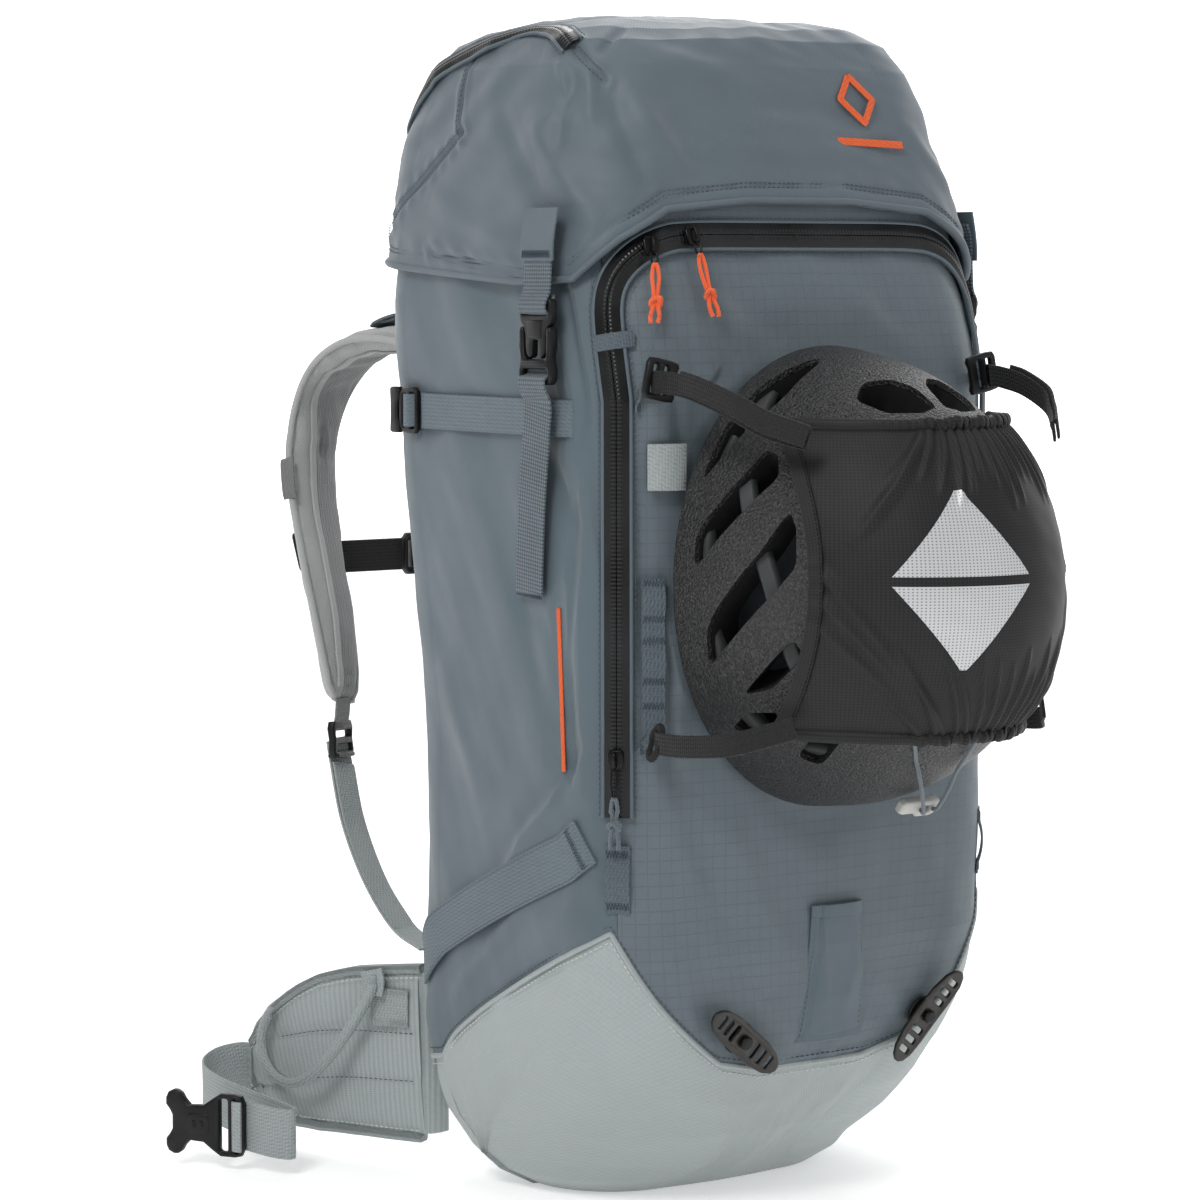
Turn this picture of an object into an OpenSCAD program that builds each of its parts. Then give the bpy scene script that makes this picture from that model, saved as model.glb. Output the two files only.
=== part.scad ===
// Ski-touring backpack with a carried helmet.
// +Z is up, -Y is the front of the pack, +Y is the wearer's side, X runs across.
// The origin is the middle of the flat patch that the pack stands on.

/* [Bag] */
// Half width of the bag at its widest
bag_half_w = 137; // [130:1:145]
// Thickness of the coated body fabric with its lining
wall = 2.5; // [2:0.5:4]
// Radius of the back corners
back_r = 45; // [40:1:52]
// Height of the bag body under the lid
bag_top = 560; // [555:1:565]
// Height of the gathered storm collar
collar_top = 598; // [585:1:599]

/* [Lid] */
// Lid fabric and lining thickness
lid_wall = 2.5; // [2:0.5:3]
// Height of the lid's highest point
lid_top = 656; // [650:1:660]

/* [Webbing] */
// Thickness of woven webbing
web_t = 1.4; // [1:0.1:1.8]
// Width of the closing and compression webbing
web_w = 25; // [20:1:26]
// Width of the hip belt webbing
hip_web_w = 30; // [25:1:38]

/* [Shoulder straps] */
// Width of a shoulder pad at its middle
pad_w = 62; // [50:1:70]
// Thickness of a shoulder pad
pad_t = 15; // [11:1:18]

/* [Hip belt] */
// Thickness of a hip fin
fin_t = 10; // [7:1:12]

/* [Zips] */
// Width of the coated zip tape
zip_w = 15; // [12:1:17]

/* [Helmet] */
// Half height, half width and depth of the helmet as it is carried
helmet_half = [101, 124, 148]; // [90:1:150]
// Thickness of the helmet's outer shell
helmet_t = 3; // [2:0.5:4]

/* [Hidden] */

slate = [0.36, 0.43, 0.47];
slate_dark = [0.30, 0.36, 0.40];
pale = [0.62, 0.66, 0.65];
strap_grey = [0.66, 0.67, 0.67];
black = [0.08, 0.08, 0.08];
gunmetal = [0.30, 0.29, 0.28];
orange = [0.97, 0.40, 0.15];
aluminium = [0.75, 0.76, 0.78];

// ---- The bag's outline: height, then value -------------------------------------------------
half_w_t = [[0, 92], [10, 110], [20, 119], [40, 129], [60, 134], [90, bag_half_w],
    [480, bag_half_w], [560, bag_half_w - 5], [600, bag_half_w - 17]];
back_t = [[0, 66], [10, 78], [20, 86], [40, 94], [60, 99], [90, 103], [250, 103], [300, 108],
    [400, 126], [500, 137], [560, 132], [600, 122]];
front_t = [[0, -25], [10, -42], [20, -55], [40, -78], [60, -93], [80, -104], [100, -111],
    [120, -115], [150, -118], [450, -117], [500, -106], [540, -92], [560, -86], [600, -70]];
front_r_t = [[0, 50], [10, 72], [20, 92], [40, 95], [60, 88], [80, 78], [100, 68], [120, 60],
    [150, 52], [200, 48], [600, 48]];
back_r_t = [[0, 38], [20, back_r], [600, back_r]];
crown = 3;

lid_half_w_t = [[500, bag_half_w + 3], [560, bag_half_w], [600, bag_half_w - 6],
    [630, bag_half_w - 15], [lid_top - 11, bag_half_w - 25], [lid_top - 4, bag_half_w - 37],
    [lid_top, bag_half_w - 53]];
lid_back_t = [[500, 143], [540, 141], [575, 136], [600, 131], [630, 120], [lid_top - 11, 108],
    [lid_top - 4, 96], [lid_top, 80]];
lid_front_t = [[500, -112], [540, -99], [575, -86], [600, -78], [630, -68], [lid_top - 11, -60],
    [lid_top - 4, -50], [lid_top, -36]];
lid_r_t = [[500, 48], [lid_top, 48]];
BAG = [half_w_t, back_t, front_t, back_r_t, front_r_t];
LID = [lid_half_w_t, lid_back_t, lid_front_t, lid_r_t, lid_r_t];

// A point on outline s at height z and offset off. Going round, u runs 0-1 along the left side,
// 1-2 round the front left corner, 2-3 along the front, 3-4 round the front right corner,
// 4-5 along the right side, 5-6, 6-7 and 7-8 round the back.
function wrap(u) = u - 8 * floor(u / 8);
function side_angle(u) = let(v = wrap(u), k = floor(v), f = v - k)
    180 + 90 * floor(k / 2) + (k % 2 == 1 ? 90 * f : 0);
function normal_at(u) = [cos(side_angle(u)), sin(side_angle(u)), 0];
function corner_at(s, i, z) = let(a = lookup(z, s[0]), b = lookup(z, s[1]), c = lookup(z, s[2]),
    rb = lookup(z, s[3]), rf = lookup(z, s[4]))
    i == 0 ? [-a + rf, c + rf, rf] : i == 1 ? [a - rf, c + rf, rf]
        : i == 2 ? [a - rb, b - rb, rb] : [-a + rb, b - rb, rb];
function at(s, u, z, off = 0) = let(v = wrap(u), k = floor(v), f = v - k, i = floor(k / 2),
    n = normal_at(u), c = corner_at(s, i, z), p = corner_at(s, (i + 3) % 4, z),
    base = k % 2 == 1 ? [c[0], c[1]] + c[2] * [n[0], n[1]]
        : (1 - f) * ([p[0], p[1]] + p[2] * [n[0], n[1]]) + f * ([c[0], c[1]] + c[2] * [n[0], n[1]]),
    push = off + (k % 2 == 0 ? crown * sin(180 * f) : 0))
    [base[0] + push * n[0], base[1] + push * n[1], z];

// The outline's own slope at a point, and a point lifted square to its face
function up_at(s, u, z) = unit(at(s, u, z + slope_step) - at(s, u, z - slope_step));
function round_at(s, u, z) = unit(at(s, u + slope_step / 100, z) - at(s, u - slope_step / 100, z));
function out_at(s, u, z) = unit(cross(round_at(s, u, z), up_at(s, u, z)));
function over(s, u, z, off) = at(s, u, z) + off * out_at(s, u, z);
slope_step = 4;

// ---- Closed solids made from grids of points ------------------------------------------------
function quads(i, j, nj, flip) = let(a = i * nj + j, b = a + nj, c = b + 1, d = a + 1)
    flip ? [[a, b, c], [a, c, d]] : [[a, c, b], [a, d, c]];

// A sheet with thickness: rows of outer points and the same rows of inner points
module slab(outer, inner) {
    ni = len(outer);
    nj = len(outer[0]);
    n = ni * nj;
    points = concat([for (r = outer) each r], [for (r = inner) each r]);
    skins = [for (i = [0:ni - 2]) for (j = [0:nj - 2]) for (t = quads(i, j, nj, false)) t];
    back = [for (i = [0:ni - 2]) for (j = [0:nj - 2]) for (t = quads(i, j, nj, true)) [for (v = t) v + n]];
    ends_j = [for (i = [0:ni - 2]) each [
        [i * nj, (i + 1) * nj, i * nj + n], [(i + 1) * nj, (i + 1) * nj + n, i * nj + n],
        [i * nj + nj - 1, i * nj + nj - 1 + n, (i + 1) * nj + nj - 1],
        [(i + 1) * nj + nj - 1, i * nj + nj - 1 + n, (i + 1) * nj + nj - 1 + n]]];
    last = (ni - 1) * nj;
    ends_i = [for (j = [0:nj - 2]) each [
        [j, j + n, j + 1], [j + 1, j + n, j + 1 + n],
        [last + j, last + j + 1, last + j + n], [last + j + 1, last + j + 1 + n, last + j + n]]];
    polyhedron(points, concat(skins, back, ends_j, ends_i), convexity = 6);
}

function steps(a, b, n) = [for (i = [0:n]) a + (b - a) * i / n];

// A patch of outline s between two offsets, u from u0 to u1, z from low(u) to high
module patch(s, u0, u1, nu, low, high, nz, out, inn) {
    us = steps(u0, u1, nu);
    zs = steps(0, 1, nz);
    slab([for (u = us) [for (t = zs) at(s, u, low(u) + t * (high(u) - low(u)), out)]],
        [for (u = us) [for (t = zs) at(s, u, low(u) + t * (high(u) - low(u)), inn)]]);
}

// A flat strip with thickness along points, wide along the matching width directions
function unit(v) = v / norm(v);
function tangent(p, i) = unit(p[min(i + 1, len(p) - 1)] - p[max(i - 1, 0)]);
function square_to(w, t) = unit(w - (w * t) * t);
function width_at(w, i) = is_num(w) ? w : w[i];
module strip(p, dirs, w, t) {
    half = [for (i = [0:len(p) - 1]) square_to(dirs[i], tangent(p, i)) * width_at(w, i) / 2];
    nrm = [for (i = [0:len(p) - 1]) unit(cross(tangent(p, i), half[i])) * t / 2];
    slab([for (i = [0:len(p) - 1]) [p[i] - half[i] + nrm[i], p[i] + half[i] + nrm[i]]],
        [for (i = [0:len(p) - 1]) [p[i] - half[i] - nrm[i], p[i] + half[i] - nrm[i]]]);
}
function all_same(p, d) = [for (q = p) d];

// A round cord along points
module cord(p, r, sides = 8) {
    turns = [for (k = [0:sides - 1]) 360 * k / sides];
    rings = [for (i = [0:len(p) - 1])
        let(t = tangent(p, i), a = square_to(abs(t[2]) > 0.8 ? [1, 0, 0] : [0, 0, 1], t), b = cross(t, a))
        [for (k = turns) p[i] + r * (cos(k) * a + sin(k) * b)]];
    n = len(p);
    points = [for (ring = rings) each ring];
    walls = [for (i = [0:n - 2]) for (k = [0:sides - 1])
        let(a = i * sides + k, b = i * sides + (k + 1) % sides)
        each [[a, b, a + sides], [b, b + sides, a + sides]]];
    polyhedron(points, concat(walls, [[for (k = [sides - 1:-1:0]) k]],
        [[for (k = [0:sides - 1]) (n - 1) * sides + k]]), convexity = 8);
}

module both_sides() {
    children();
    mirror([1, 0, 0]) children();
}

// ---- Seam heights ---------------------------------------------------------------------------
// Height of the seam between the pale bottom panel and the body, going round
bottom_seam_t = [[-1.5, 66], [-0.5, 67], [0, 74], [1, 148], [1.4, 165], [1.7, 125], [2, 88],
    [2.2, 82], [2.8, 82], [3, 88], [3.3, 125], [3.6, 165], [4, 148], [5, 74], [5.5, 67], [6.5, 66]];
function bottom_seam(u) = lookup(u > 6.5 ? u - 8 : u, bottom_seam_t);
// Height of the lid's lower edge, arched over the front
lid_edge_t = [[-1.5, 526], [-0.5, 524], [0, 520], [0.8, 512], [1.2, 514], [1.6, 535], [2, 551],
    [2.3, 556], [2.7, 556], [3, 551], [3.4, 535], [3.8, 514], [4.2, 512], [5, 520], [5.5, 524], [6.5, 526]];
function lid_edge(u) = lookup(u > 6.5 ? u - 8 : u, lid_edge_t);
seam_gap = 0.3;
front_u = 1.45;
back_u = 0.5;
panel_gap_u = 0.012;
// Steps round the left side, the front, the right side and the back, shared by every panel's seam
side_n = 9;
front_n = 16;
back_n = 12;
seam_us = concat([for (i = [0:side_n - 1]) -back_u + (front_u + back_u) * i / side_n],
    [for (i = [0:front_n - 1]) front_u + (5 - 2 * front_u) * i / front_n],
    [for (i = [0:side_n - 1]) 5 - front_u + (front_u + back_u) * i / side_n],
    [for (i = [0:back_n - 1]) 5 + back_u + 2 * i / back_n]);

// ---- Bag ------------------------------------------------------------------------------------
module back_panel() {
    color(slate_dark) patch(BAG, 5 + back_u, 7 + back_u, back_n, function(u) bottom_seam(u) + seam_gap,
        function(u) bag_top, 14, 0, -wall);
}
sheet_out = -wall - 2.4;
sheet_t = 1.6;
stay_t = 3;
stay_gap = 1.2;
stay_out = sheet_out - sheet_t - stay_gap;
module frame_sheet() {
    color(black) patch(BAG, 6.05, 6.95, 6, function(u) 80, function(u) 500, 10,
        sheet_out, sheet_out - sheet_t);
}
module frame_stays() {
    color(aluminium) for (u = [6.2, 6.8]) patch(BAG, u - 0.035, u + 0.035, 1, function(u) 90,
        function(u) 490, 10, stay_out, stay_out - stay_t);
}
pad_out = 11;
module back_pads() {
    color(strap_grey) {
        patch(BAG, 6.02, 6.98, 6, function(u) 78, function(u) 150, 3, pad_out, 0.4);
        for (u = [6.05, 6.58]) patch(BAG, u, u + 0.37, 3, function(u) 175, function(u) 440, 6, pad_out, 0.4);
    }
}
module side_panel_left() {
    color(slate) patch(BAG, panel_gap_u - back_u, front_u - panel_gap_u, side_n,
        function(u) bottom_seam(u) + seam_gap, function(u) bag_top, 14, 0, -wall);
}
module side_panel_right() {
    color(slate) mirror([1, 0, 0]) patch(BAG, panel_gap_u - back_u, front_u - panel_gap_u, side_n,
        function(u) bottom_seam(u) + seam_gap, function(u) bag_top, 14, 0, -wall);
}
module front_panel() {
    color(slate_dark) patch(BAG, front_u, 5 - front_u, front_n, function(u) bottom_seam(u) + seam_gap,
        function(u) bag_top, 14, 0, -wall);
}
floor_y = 20;
// The boat-shaped bottom: a cup made of an outer and an inner grid, closed by two floors
module bottom_panel() {
    us = seam_us;
    nu = len(us);
    nz = 7;
    function row(u, t, off, z0) = let(z1 = bottom_seam(u)) at(BAG, u, z0 + t * t * (z1 - z0), off);
    outer = [for (j = [0:nz]) for (u = us) row(u, j / nz, 0, 0)];
    inner = [for (j = [0:nz]) for (u = us) row(u, j / nz, -wall * 1.3, wall * (1 - j / nz))];
    n = nu * (nz + 1);
    points = concat(outer, inner, [[0, floor_y, 0], [0, floor_y, wall]]);
    function ring(j, i) = j * nu + i % nu;
    walls = [for (j = [0:nz - 1]) for (i = [0:nu - 1]) each [
        [ring(j, i), ring(j + 1, i), ring(j, i + 1)], [ring(j, i + 1), ring(j + 1, i), ring(j + 1, i + 1)],
        [n + ring(j, i), n + ring(j, i + 1), n + ring(j + 1, i)],
        [n + ring(j, i + 1), n + ring(j + 1, i + 1), n + ring(j + 1, i)]]];
    rim = [for (i = [0:nu - 1]) each [[ring(nz, i), n + ring(nz, i), ring(nz, i + 1)],
        [ring(nz, i + 1), n + ring(nz, i), n + ring(nz, i + 1)]]];
    floors = [for (i = [0:nu - 1]) each [[2 * n, ring(0, i), ring(0, i + 1)],
        [2 * n + 1, n + ring(0, i + 1), n + ring(0, i)]]];
    color(pale) polyhedron(points, concat(walls, rim, floors), convexity = 8);
}
divider_off = -30;
module divider_panel() {
    color(slate_dark) patch(BAG, 1.75, 3.25, 8, function(u) 175, function(u) 530, 8,
        divider_off, divider_off - 1.2);
}
collar_gap = 0.9;
collar_in = 26;
// The collar stands on the bag's inner edge and draws in towards its corded mouth
module storm_collar() {
    nu = 40;
    nz = 4;
    us = [for (i = [0:nu - 1]) 8 * i / nu];
    function row(u, t, off) = at(BAG, u, bag_top - 20 + t * (collar_top - bag_top + 20),
        -wall - collar_gap + off - collar_in * pow(max(0, t - 0.35) / 0.65, 1.5));
    outer = [for (j = [0:nz]) for (u = us) row(u, j / nz, 0)];
    inner = [for (j = [0:nz]) for (u = us) row(u, j / nz, -1.2)];
    n = nu * (nz + 1);
    function ring(j, i) = j * nu + i % nu;
    walls = [for (j = [0:nz - 1]) for (i = [0:nu - 1]) each [
        [ring(j, i), ring(j + 1, i), ring(j, i + 1)], [ring(j, i + 1), ring(j + 1, i), ring(j + 1, i + 1)],
        [n + ring(j, i), n + ring(j, i + 1), n + ring(j + 1, i)],
        [n + ring(j, i + 1), n + ring(j + 1, i + 1), n + ring(j + 1, i)]]];
    rims = [for (i = [0:nu - 1]) each [[ring(nz, i), n + ring(nz, i), ring(nz, i + 1)],
        [ring(nz, i + 1), n + ring(nz, i), n + ring(nz, i + 1)],
        [ring(0, i), ring(0, i + 1), n + ring(0, i)], [ring(0, i + 1), n + ring(0, i + 1), n + ring(0, i)]]];
    color(slate) polyhedron(concat(outer, inner), concat(walls, rims), convexity = 8);
}
cord_r = 1.5;
cord_z = collar_top - 6;
cord_out = 9;
lock_out = 18;
mouth_off = -wall - collar_in - collar_gap;
module collar_cord() {
    color(black) cord([for (i = [0:38]) let(u = 2.68 + 7.64 * i / 38)
        at(BAG, u, cord_z, mouth_off + cord_out)], cord_r);
}
lock_y = at(BAG, 2.5, cord_z, mouth_off + lock_out)[1];
lock_len = 20;
lock_r = 7;
plunger_r = 4;
module cord_lock() {
    color(black) translate([0, lock_y, cord_z]) rotate([0, 90, 0]) difference() {
        translate([0, 0, -lock_len / 2]) cylinder(r = lock_r, h = lock_len, $fn = 40);
        translate([0, 0, -lock_len / 2 + 3]) cylinder(r = plunger_r + 0.1, h = lock_len, $fn = 40);
    }
}
module cord_lock_button() {
    color(black) translate([0, lock_y, cord_z]) rotate([0, 90, 0])
        translate([0, 0, -lock_len / 2 + 8]) cylinder(r = plunger_r, h = lock_len - 3, $fn = 40);
}

// ---- Front zip ------------------------------------------------------------------------------
zip_bottom = 228;
zip_run_top = 494;
zip_z = 537;
zip_u = 1.45;
zip_right_bottom = 400;
zip_off = 2;
// Up the left corner, round the arc, along the top, round and down the right corner
arc_u = 2.15;
function arc_point(u, side, a) =
    [u + side * (arc_u - zip_u) * cos(a), zip_run_top + (zip_z - zip_run_top) * sin(a)];
zip_route = concat(
    [for (z = steps(zip_bottom, zip_run_top, 12)) [zip_u, z]],
    [for (i = [1:6]) arc_point(arc_u, -1, 15 * i)],
    [for (u = steps(2.25, 2.75, 4)) [u, zip_z]],
    [for (i = [6:-1:0]) arc_point(5 - arc_u, 1, 15 * i)],
    [for (z = steps(zip_run_top - 24, zip_right_bottom, 4)) [5 - zip_u, z]]);
module band(s, route, w, t, off) {
    p = [for (q = route) over(s, q[0], q[1], off)];
    dirs = [for (i = [0:len(p) - 1]) cross(out_at(s, route[i][0], route[i][1]), tangent(p, i))];
    strip(p, dirs, w, t);
}
module front_zip() {
    color(black) band(BAG, zip_route, zip_w, 1.2, zip_off);
}

// A slider box stands on the zip; its pull hangs from a bridge at the slider's lower end
slider = [9, 5, 11];
slider_off = zip_off + 2;
pull_gap = 2.4;
module on_face(s, u, z, off) {
    translate(over(s, u, z, off)) rotate([0, 0, side_angle(u) + 90])
        rotate([asin(up_at(s, u, z) * normal_at(u)), 0, 0]) children();
}
// In the local frame of on_face, -Y points out of the face and +Z runs up it
module zip_slider(s, u, z, off) {
    color(black) on_face(s, u, z, off) translate([-slider[0] / 2, -slider[1], 0]) cube(slider);
}
module cord_pull(s, u, z, off, len, tone) {
    color(tone) on_face(s, u, z, off) translate([0, -3, 0]) {
        translate([-3, -1.5, -len]) cube([6, 3, len - pull_gap]);
        translate([0, 0, -len * 0.72]) sphere(r = 4, $fn = 24);
    }
}
top_u = 2.06;
top_z = 530;
corner_u = 1.8;
corner_z = 525;
lower_z = 254;
module zip_slider_top() { zip_slider(BAG, top_u, top_z, slider_off); }
module zip_pull_top() { cord_pull(BAG, top_u, top_z, slider_off, 42, orange); }
module zip_slider_corner() { zip_slider(BAG, corner_u, corner_z, slider_off); }
module zip_pull_corner() { cord_pull(BAG, corner_u, corner_z, slider_off, 40, orange); }
module zip_slider_lower() { zip_slider(BAG, zip_u, lower_z, slider_off); }
module zip_pull_lower() { cord_pull(BAG, zip_u, lower_z, slider_off, 44, slate); }

// ---- Lid ------------------------------------------------------------------------------------
module lid_shell() {
    nu = 40;
    nz = 9;
    us = [for (i = [0:nu - 1]) 8 * i / nu];
    function height(u, j, top) = let(f = 1 - pow(1 - j / nz, 1.8)) lid_edge(u) + f * (top - lid_edge(u));
    outer = [for (j = [0:nz]) for (u = us) at(LID, u, height(u, j, lid_top), 0)];
    inner = [for (j = [0:nz]) for (u = us) at(LID, u, height(u, j, lid_top), 0)
        + [0, 0, j == nz ? -lid_wall : 0] - (j == nz ? 4 : lid_wall) * normal_at(u)];
    n = nu * (nz + 1);
    points = concat(outer, inner, [[0, floor_y, lid_top + 1], [0, floor_y, lid_top + 1 - lid_wall]]);
    function ring(j, i) = j * nu + i % nu;
    walls = [for (j = [0:nz - 1]) for (i = [0:nu - 1]) each [
        [ring(j, i), ring(j + 1, i), ring(j, i + 1)], [ring(j, i + 1), ring(j + 1, i), ring(j + 1, i + 1)],
        [n + ring(j, i), n + ring(j, i + 1), n + ring(j + 1, i)],
        [n + ring(j, i + 1), n + ring(j + 1, i + 1), n + ring(j + 1, i)]]];
    rim = [for (i = [0:nu - 1]) each [[ring(0, i), ring(0, i + 1), n + ring(0, i)],
        [ring(0, i + 1), n + ring(0, i + 1), n + ring(0, i)]]];
    tops = [for (i = [0:nu - 1]) each [[2 * n, ring(nz, i + 1), ring(nz, i)],
        [2 * n + 1, n + ring(nz, i), n + ring(nz, i + 1)]]];
    color(slate) polyhedron(points, concat(walls, rim, tops), convexity = 8);
}
lid_floor_z = 604;
module lid_floor() {
    outline = [for (i = [0:39]) let(p = at(LID, 8 * i / 40, lid_floor_z + 2, -lid_wall - 1)) [p[0], p[1]]];
    color(slate_dark) translate([0, 0, lid_floor_z]) linear_extrude(1.5) polygon(outline);
}
// The lid's zip runs from the front left over the left end, then down and along the back
lid_zip_route = [[1.3, 640], [1.15, 647.5], [0.95, 650], [0.7, 649.5], [0.425, 646], [0.15, 640.5], [-0.05, 634],
    [-0.2, 625], [-0.35, 613], [-0.5, 604], [-0.7, 600], [-0.95, 599], [-1.2, 599], [-1.45, 599], [-1.7, 599]];
module lid_zip() { color(black) band(LID, lid_zip_route, 12, 1.2, 1.2); }
lid_slider_u = 6.9;
module lid_zip_slider() {
    z = 599;
    color(black) on_face(LID, lid_slider_u, z, 4.6) {
        translate([-6, -4.5, -4]) cube([12, 4.5, 8]);
        translate([-12, -3.5, -3]) cube([6.5, 2, 6]);
    }
}

// ---- Lid straps and their side-release buckles ----------------------------------------------
buckle_y = -56;
side_x = bag_half_w + crown;
male_z = 484;
rail_gap = 21;
strap_out = 6.2;
module lid_straps() {
    color(slate) both_sides() strip([for (z = [540, 520, 505]) [-side_x - strap_out, buckle_y, z]],
        all_same([1, 2, 3], [0, 1, 0]), web_w, web_t);
}
module lid_buckles_male() {
    color(black) both_sides() translate([-side_x - strap_out, buckle_y, male_z]) {
        translate([-2.5, -15, 8]) cube([5, 30, 12]);
        translate([-2, -7, -12]) cube([4, 14, 20.2]);
    }
}
module lid_buckles_female() {
    color(black) both_sides() translate([-side_x - strap_out, buckle_y, male_z]) {
        translate([-3, -15, -26]) cube([6, 30, 11]);
        for (s = [-1, 1]) translate([-3, s > 0 ? rail_gap / 2 : -15, -15]) cube([6, 15 - rail_gap / 2, 20]);
    }
}
module lid_webbing() {
    color(slate) both_sides() strip([[-side_x - strap_out, buckle_y, 457], [-side_x - 5.6, buckle_y + 3, 430],
        [-side_x - 4.6, buckle_y + 9, 390], [-side_x - 3.4, buckle_y + 14, 346]],
        all_same([1, 2, 3, 4], [0, 1, 0]), web_w, web_t);
}

// ---- Compression straps -----------------------------------------------------------------------
upper_z = 440;
hook_u = 0.0;
module upper_compression_webbing() {
    color(slate) both_sides() {
        for (run = [[0.14, 0.93, 8], [-0.62, -0.24, 4]])
            strip([for (u = steps(run[0], run[1], run[2])) at(BAG, u, upper_z, 1.6)],
                [for (i = [0:run[2]]) [0, 0, 1]], 20, web_t);
    }
}
module comp_hook() {
    color(black) on_face(BAG, hook_u - 0.02, upper_z, 1.6) {
        translate([-13, -4, -13]) difference() {
            cube([28, 4, 26]);
            translate([6, -1, 4]) cube([5, 6, 18]);
            translate([16, -1, 4]) cube([5, 6, 18]);
        }
    }
}
module compression_hook_left() { comp_hook(); }
module compression_hook_right() { mirror([1, 0, 0]) comp_hook(); }
lower_route = [for (i = [0:10]) let(f = i / 10) [1.2 - 1.55 * f, 214 - 84 * f - 8 * f * f]];
module lower_compression_webbing() {
    color(slate) both_sides() band(BAG, lower_route, 27, web_t, 1.6);
}

// ---- Small loops sewn flat on the front --------------------------------------------------------
module flat_loop(u, z, w, h) {
    color(slate) on_face(BAG, u, z, 0.5) translate([-w / 2, -3, -h / 2]) cube([w, 3, h]);
}
module front_loops() {
    for (z = [345, 312, 278]) flat_loop(1.72, z, 14, 22);
    for (z = [204, 184]) flat_loop(1.45, z, 14, 18);
    for (z = [204, 184]) flat_loop(3.55, z, 14, 18);
    color(pale) on_face(BAG, 1.86, 415, 0.5) translate([-16, -4, -13]) cube([32, 4, 25]);
}

// ---- Shoulder straps ---------------------------------------------------------------------------
// Centre line of the left pad from its root down to its lower end
pad_route = [[-58, 150, 462], [-60, 176, 474], [-64, 206, 478], [-69, 236, 475], [-75, 262, 462],
    [-81, 278, 440], [-87, 281, 412], [-93, 270, 380], [-98, 252, 345], [-102, 233, 310], [-105, 219, 280],
    [-107, 212, 258]];
pad_widths = [46, 52, 57, pad_w - 1, pad_w, pad_w, pad_w, pad_w - 1, pad_w - 3, pad_w - 6, 46, 34];
pad_turn = [0, 4, 10, 16, 22, 28, 33, 36, 38, 38, 36, 34];
pad_dirs = [for (a = pad_turn) [cos(a), sin(a), 0]];
module shoulder_pad_left() { color(strap_grey) strip(pad_route, pad_dirs, pad_widths, pad_t); }
module shoulder_pad_right() { mirror([1, 0, 0]) shoulder_pad_left(); }
module load_lifters() {
    color(slate) both_sides() strip([[-60, 139.5, 506], [-61, 170, 499], [-66, 208, 489], [-68, 220, 487.5]],
        all_same([1, 2, 3, 4], [1, 0, 0]), 18, web_t);
}
module haul_loop() {
    color(slate) strip([[-38, 141.5, 494], [-30, 157, 500], [-14, 166, 504], [14, 166, 504], [30, 157, 500],
        [38, 141.5, 494]], all_same([1, 2, 3, 4, 5, 6], [0, 0, 1]), 18, 3);
}
lock_at = [-108, 214, 240];
module lower_webbing() {
    color(pale) both_sides() strip([[-108, 214, 222.8], [-111, 196, 190], [-113, 168, 158], [-112, 138, 134],
        [-108, 112, 124]], all_same([1, 2, 3, 4, 5], [cos(20), sin(20), 0]), 20, web_t);
}
module strap_lock() {
    color(black) translate(lock_at) rotate([-6, 0, 34]) difference() {
        translate([-14, -2.5, -14]) cube([28, 5, 22]);
        translate([-10, -3, -10]) cube([20, 6, 4]);
        translate([-10, -3, -2]) cube([20, 6, 4]);
    }
}
module strap_lock_left() { strap_lock(); }
module strap_lock_right() { mirror([1, 0, 0]) strap_lock(); }
sternum_z = 341;
sternum_y = 283;
module sternum_webbing() {
    color(black) both_sides() {
        strip([[-88, sternum_y - 3, sternum_z], [-82, sternum_y - 0.2, sternum_z],
            [-60, sternum_y, sternum_z], [-20.5, sternum_y, sternum_z]],
            all_same([1, 2, 3, 4], [0, 0, 1]), 20, web_t);
        translate([-96.6, sternum_y - 8.6, sternum_z + 4]) rotate([-24, 0, 0]) rotate([0, 0, 38])
            translate([-9, -3, -13]) cube([18, 6, 26]);
    }
}
module sternum_buckle() {
    color(black) translate([0, sternum_y, sternum_z]) {
        difference() {
            translate([-20, -4, -13]) cube([24, 8, 26]);
            translate([-8, -2.6, -9]) cube([13, 5.2, 18]);
        }
        translate([-6, -2, -8]) cube([10.2, 4, 16]);
        translate([4.2, -4, -13]) cube([16, 8, 26]);
    }
}

// ---- Hip belt ----------------------------------------------------------------------------------
// Centre line of the left fin from its root to its tip, and its height at each point
fin_route = [[-118, 106, 64.5], [-128, 124, 63.5], [-139, 146, 62], [-149, 168, 58.5], [-155, 183, 54.5],
    [-160, 196.5, 50.5], [-164, 207.5, 47], [-167.5, 216.5, 44]];
fin_heights = [103, 101, 98, 92, 83, 71, 55, 32];
module hip_fin_left() { color(pale) strip(fin_route, all_same(fin_route, [0, 0, 1]), fin_heights, fin_t); }
module hip_fin_right() { mirror([1, 0, 0]) hip_fin_left(); }
// The belt webbing leaves the fin's tip, turns back towards the front and folds into its buckle
hip_route = [[-168.4, 219.2, 43], [-172, 227, 42], [-180, 234, 39], [-190, 233.5, 35], [-197.5, 225, 32],
    [-200, 208, 30], [-200, 190, 28.5], [-198, 170, 27], [-195.5, 148, 25.5], [-194, 130, 24.3],
    [-194.8, 123.5, 24], [-198.5, 121, 24], [-203, 124, 24.3], [-208, 132.5, 25], [-213.6, 144.6, 25.8]];
module hip_webbing_left() { color(pale) strip(hip_route, all_same(hip_route, [0, 0, 1]), hip_web_w, web_t); }
module hip_webbing_right() { mirror([1, 0, 0]) hip_webbing_left(); }
buckle_at = [-214.4, 146.2, 26];
buckle_turn = 124.6;
buckle_t = 6;
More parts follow.
